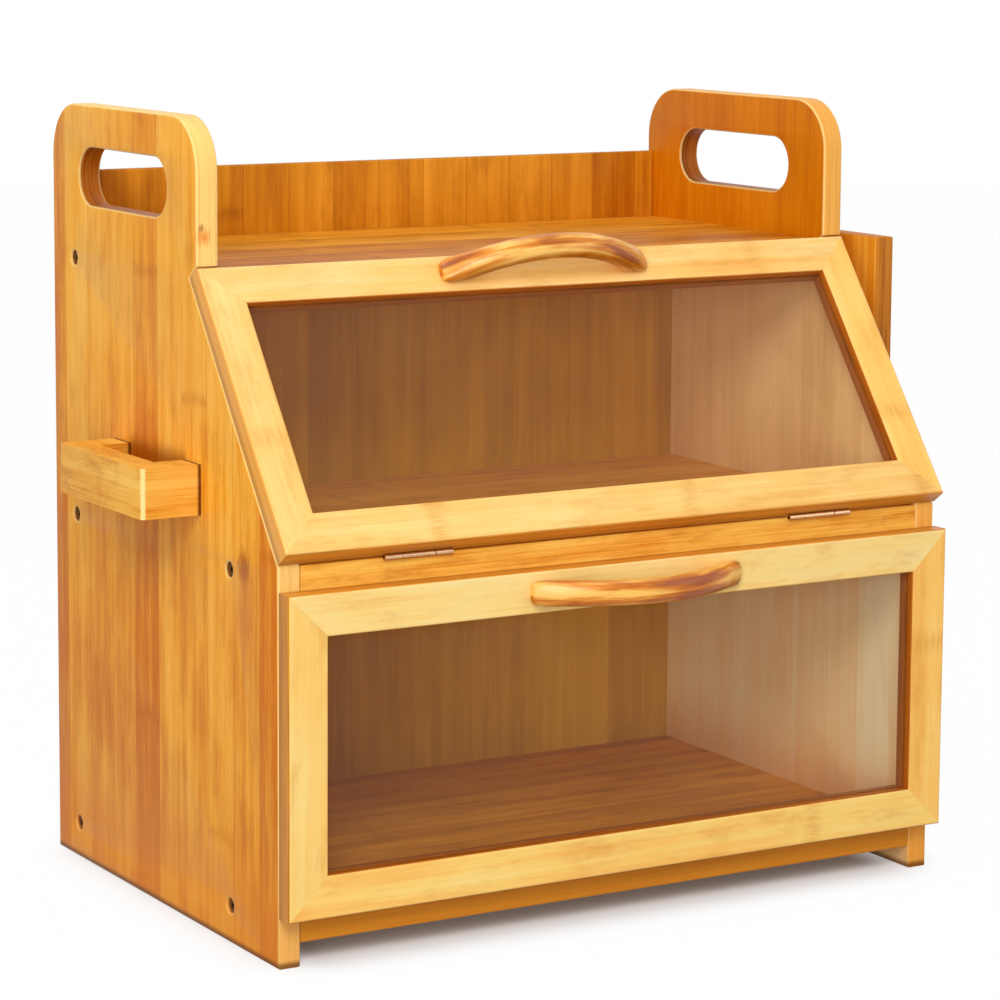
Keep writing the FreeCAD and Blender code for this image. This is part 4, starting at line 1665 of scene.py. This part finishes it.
@dataclass
class SideFittings:
    """The knife holder on the left panel and the board rack on the right one."""

    shop: Workshop
    edge: float = 1.3 * MM
    corner: float = 2.8 * MM
    corner_steps: int = 5

    def build(self) -> None:
        """Makes and dresses both fittings."""
        # Painted shade: a dark line on the holder where it meets the panel.
        joint = Crease(tint(96, 36, 0), Axis.X, -200.0, 2.6, 0.95)
        # Painted shade: darker tones on the holder's front faces.
        front = Patch(Tones.seen((190, 98, 4), (228, 154, 46), (246, 186, 86)), Axis.Y, -1.0)
        # The holder's pale band on its rounded corner is partly wear and partly a painted highlight.
        self.holder(replace(
            HONEY, name="honey_bamboo_holder", grain=Axis.Y, across=Axis.Z, strip=60.0, shift=10.0,
            tones=Tones.seen((206, 112, 8), (240, 168, 54), (252, 196, 92)), fibre=1.0, seam=0.0,
            node_gap=120.0, node_strength=0.25, end_grain=0.0, wrapped=True, seed=11.0, wear_and_highlight=0.9,
            creases=(joint,), patches=(front,)))
        # Painted light: the rack board's face towards the ear gets brighter tones.
        inner_face_light = Patch(Tones.seen((232, 146, 30), (252, 180, 62), (255, 200, 92)), Axis.X, -1.0)
        plan: dict[str, Finish] = {
            "board_rack_outer_board": replace(
                HONEY, name="honey_bamboo_rack_board", seed=14.0, rim=tint(202, 124, 34),
                rim_dark=tint(150, 80, 12), rim_streak=0.8, rim_share=1.0, thick_shift=-220.5,
                patches=(inner_face_light,)),
            "board_rack_ledge": replace(HONEY, name="honey_bamboo_rack_ledge", grain=Axis.Y, across=Axis.Z,
                                        strip=60.0, seed=15.0),
            "board_rack_rear_strip": replace(HONEY, name="honey_bamboo_rack_strip", seed=16.0),
        }
        for node, finish in plan.items():
            self.shop.block(node, "carcass", finish, self.edge)
        for node in ("knife_holder_dowels", "board_rack_dowels"):
            self.shop.dress(node, replace(PALE, name=f"pale_bamboo_{node}", grain=Axis.X, across=Axis.Y))

    def holder(self, finish: Finish) -> None:
        """Makes the knife holder's bar and its two mitred end blocks as one rounded piece.

        Args:
            finish: Its finish, with the grain running round the corners.
        """
        bar_low, bar_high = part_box("knife_holder_bar")
        front_low, front_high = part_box("knife_holder_front_block")
        rear_low, rear_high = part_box("knife_holder_rear_block")
        out, wall, slot = bar_low.x, front_high.x, bar_high.x
        near, far = min(bar_low.y, front_low.y), max(bar_high.y, rear_high.y)
        r = self.corner
        turns = [math.radians(90 * k / self.corner_steps) for k in range(self.corner_steps + 1)]
        outline = [(out + r - r * math.sin(a), near + r - r * math.cos(a)) for a in turns[::-1]]
        outline += [(wall, near), (wall, front_high.y), (slot, front_high.y), (slot, rear_low.y),
                    (wall, rear_low.y), (wall, far)]
        outline += [(out + r - r * math.sin(a), far - r + r * math.cos(a)) for a in turns]
        work = bmesh.new()
        join_rings(work, [[work.verts.new((x, y, z)) for x, y in outline] for z in (bar_low.z, bar_high.z)])
        sharp = [e for e in work.edges if e.calc_face_angle(0.0) > math.radians(40)]
        bmesh.ops.bevel(work, geom=sharp, offset=self.edge, segments=3, profile=0.5, affect="EDGES")
        piece = new_piece("knife_holder_eased", mesh_from("knife_holder", work, 60.0))
        nodes = [f"knife_holder_{part}" for part in ("bar", "front_block", "rear_block")]
        self.shop.seat(piece, "carcass", finish, nodes)


@dataclass(frozen=True)
class Lamp:
    """A square soft lamp: its place and width in metres, and its power in watts."""

    name: str
    place: tuple[float, float, float]
    width: float
    power: float


@dataclass
class Studio:
    """A pale floor, soft lamps, a white surround and the camera."""

    eye: Vector = field(default_factory=lambda: Vector((-0.96106, -1.59814, 0.51561)))
    yaw: float = 0.52090
    pitch: float = 0.13193
    roll: float = 0.00463
    sensor: float = 36.0
    lens: float = 125.31
    shift: tuple[float, float] = (0.06, -0.12)
    target: tuple[float, float, float] = (0.0, 0.0, 0.2)
    ambient: float = 0.38
    floor_radius: float = 5.0
    foot_half: float = 0.168
    foot_deep: float = 0.106
    foot_middle: float = 0.02
    shade_reach: float = 0.058
    shade_warm: Colour = (0.93, 0.81, 0.7)
    shade_cool: Colour = (0.93, 0.97, 1.0)
    floor_grey: Colour = (0.4, 0.4, 0.4)
    white_near: float = 0.05
    white_far: float = 0.98
    lamps: tuple[Lamp, ...] = (
        Lamp("key", (-1.1, -1.8, 1.6), 0.8, 24.0), Lamp("side", (-1.2, 0.1, 1.45), 0.7, 6.0),
        Lamp("front", (-1.7, -2.0, 0.5), 0.9, 19.5), Lamp("fill", (1.7, -1.6, 1.1), 1.4, 8.0),
        Lamp("top", (0.2, 0.4, 2.1), 1.4, 7.0))

    def build(self) -> None:
        """Sets up the whole studio."""
        self.floor()
        self.world()
        for lamp in self.lamps:
            self.light(lamp)
        self.camera()
        bpy.context.scene.view_settings.view_transform = "Standard"

    def seen(self, graph: Graph) -> Field:
        """Gives 1 for what the camera sees, itself or in a reflection or through a pane."""
        ray = graph.node("ShaderNodeLightPath")
        names = ("Is Camera Ray", "Is Glossy Ray", "Is Transmission Ray")
        first, *rest = (Field(graph, ray.outputs[n]) for n in names)
        for other in rest:
            first = graph.math("MAXIMUM", first, other)
        return first

    def floor(self) -> None:
        """Makes the floor, which fades to plain white away from the box."""
        work = bmesh.new()
        bmesh.ops.create_circle(work, cap_ends=True, radius=self.floor_radius, segments=96)
        floor = new_piece("floor", mesh_from("floor", work))
        made, graph = Graph.material("floor_white")
        space = graph.node("ShaderNodeTexCoord")
        x, y, _ = graph.parts(Field(graph, space.outputs["Object"]))
        beside = graph.math("MAXIMUM", abs(x) - self.foot_half, 0.0)
        ahead = graph.math("MAXIMUM", abs(y - self.foot_middle) - self.foot_deep, 0.0)
        away = graph.math("SQRT", beside * beside + ahead * ahead)
        fade = graph.smooth(away, 0.0, self.shade_reach)
        grain = graph.noise(graph.point(x * 40.0, y * 40.0, 0.0), 2.0)
        seen = self.seen(graph)
        # Near the box the paper is tinted warm: painted bounce light from the wood, in the box's shadow.
        tone = graph.blend(seen, self.floor_grey, graph.blend(fade, self.shade_warm, self.shade_cool))
        paper = graph.node("ShaderNodeBsdfPrincipled", None, {
            "Base Color": tone, "Roughness": 0.75 + (grain - 0.5) * 0.1, "Specular IOR Level": 0.2})
        white = graph.node("ShaderNodeEmission", None, {"Color": (1.0, 1.0, 1.0), "Strength": 1.0})
        share = seen * (self.white_near + fade * (self.white_far - self.white_near))
        mixed = graph.node("ShaderNodeMixShader", None, {
            0: share, 1: paper.outputs[0], 2: white.outputs[0]})
        graph.close(mixed)
        floor.data.materials.append(made)

    def world(self) -> None:
        """Makes the surround: white where it is seen, softer where it lights the box."""
        world = bpy.data.worlds.new("studio")
        bpy.context.scene.world = world
        world.use_nodes = True
        graph = Graph(world.node_tree)
        strength = self.ambient + self.seen(graph) * (1.0 - self.ambient)
        sky = graph.node("ShaderNodeBackground", None, {"Color": (1.0, 1.0, 1.0), "Strength": strength})
        graph.close(sky, "ShaderNodeOutputWorld")

    def light(self, lamp: Lamp) -> None:
        """Sets up a lamp that points at the middle of the box."""
        light = bpy.data.lights.new(lamp.name, "AREA")
        light.size = lamp.width
        light.energy = lamp.power
        made = bpy.data.objects.new(lamp.name, light)
        made.location = lamp.place
        way = Vector(self.target) - Vector(lamp.place)
        made.rotation_euler = way.to_track_quat("-Z", "Y").to_euler()
        bpy.context.scene.collection.objects.link(made)

    def camera(self) -> None:
        """Places the camera."""
        ahead = Vector((math.sin(self.yaw) * math.cos(self.pitch),
                        math.cos(self.yaw) * math.cos(self.pitch), -math.sin(self.pitch)))
        right = Vector((math.cos(self.yaw), -math.sin(self.yaw), 0.0))
        up = right.cross(ahead)
        c, s = math.cos(self.roll), math.sin(self.roll)
        turned_right, turned_up = c * right + s * up, c * up - s * right
        lens = bpy.data.cameras.new("camera")
        lens.sensor_width = self.sensor
        lens.lens = self.lens
        lens.shift_x, lens.shift_y = self.shift
        made = bpy.data.objects.new("camera", lens)
        turn = Matrix((turned_right, turned_up, -ahead)).transposed().to_4x4()
        made.matrix_world = Matrix.Translation(self.eye) @ turn
        bpy.context.scene.collection.objects.link(made)
        bpy.context.scene.camera = made


def main() -> None:
    """Builds the box around its frame, then the studio."""
    logging.basicConfig(level=logging.INFO, format="%(message)s")
    for old in list(bpy.data.objects):
        bpy.data.objects.remove(old)
    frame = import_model()
    shop = Workshop(frame)
    Carcass(shop).build()
    upper = Door(shop, "upper", UPPER_LEAN, shop.hinge_place("upper_door_hinge"), UPPER_LOOK).build()
    lower = Door(shop, "lower", 0.0, shop.hinge_place("lower_door_hinge"), LOWER_LOOK).build()
    upper.screws("carcass_hinge_screws_turned", upper.screw_spots(0.0) + lower.screw_spots(0.0), "carcass",
                 "carcass_hinge_screws")
    SideFittings(shop).build()
    Studio().build()


if __name__ == "__main__":
    main()
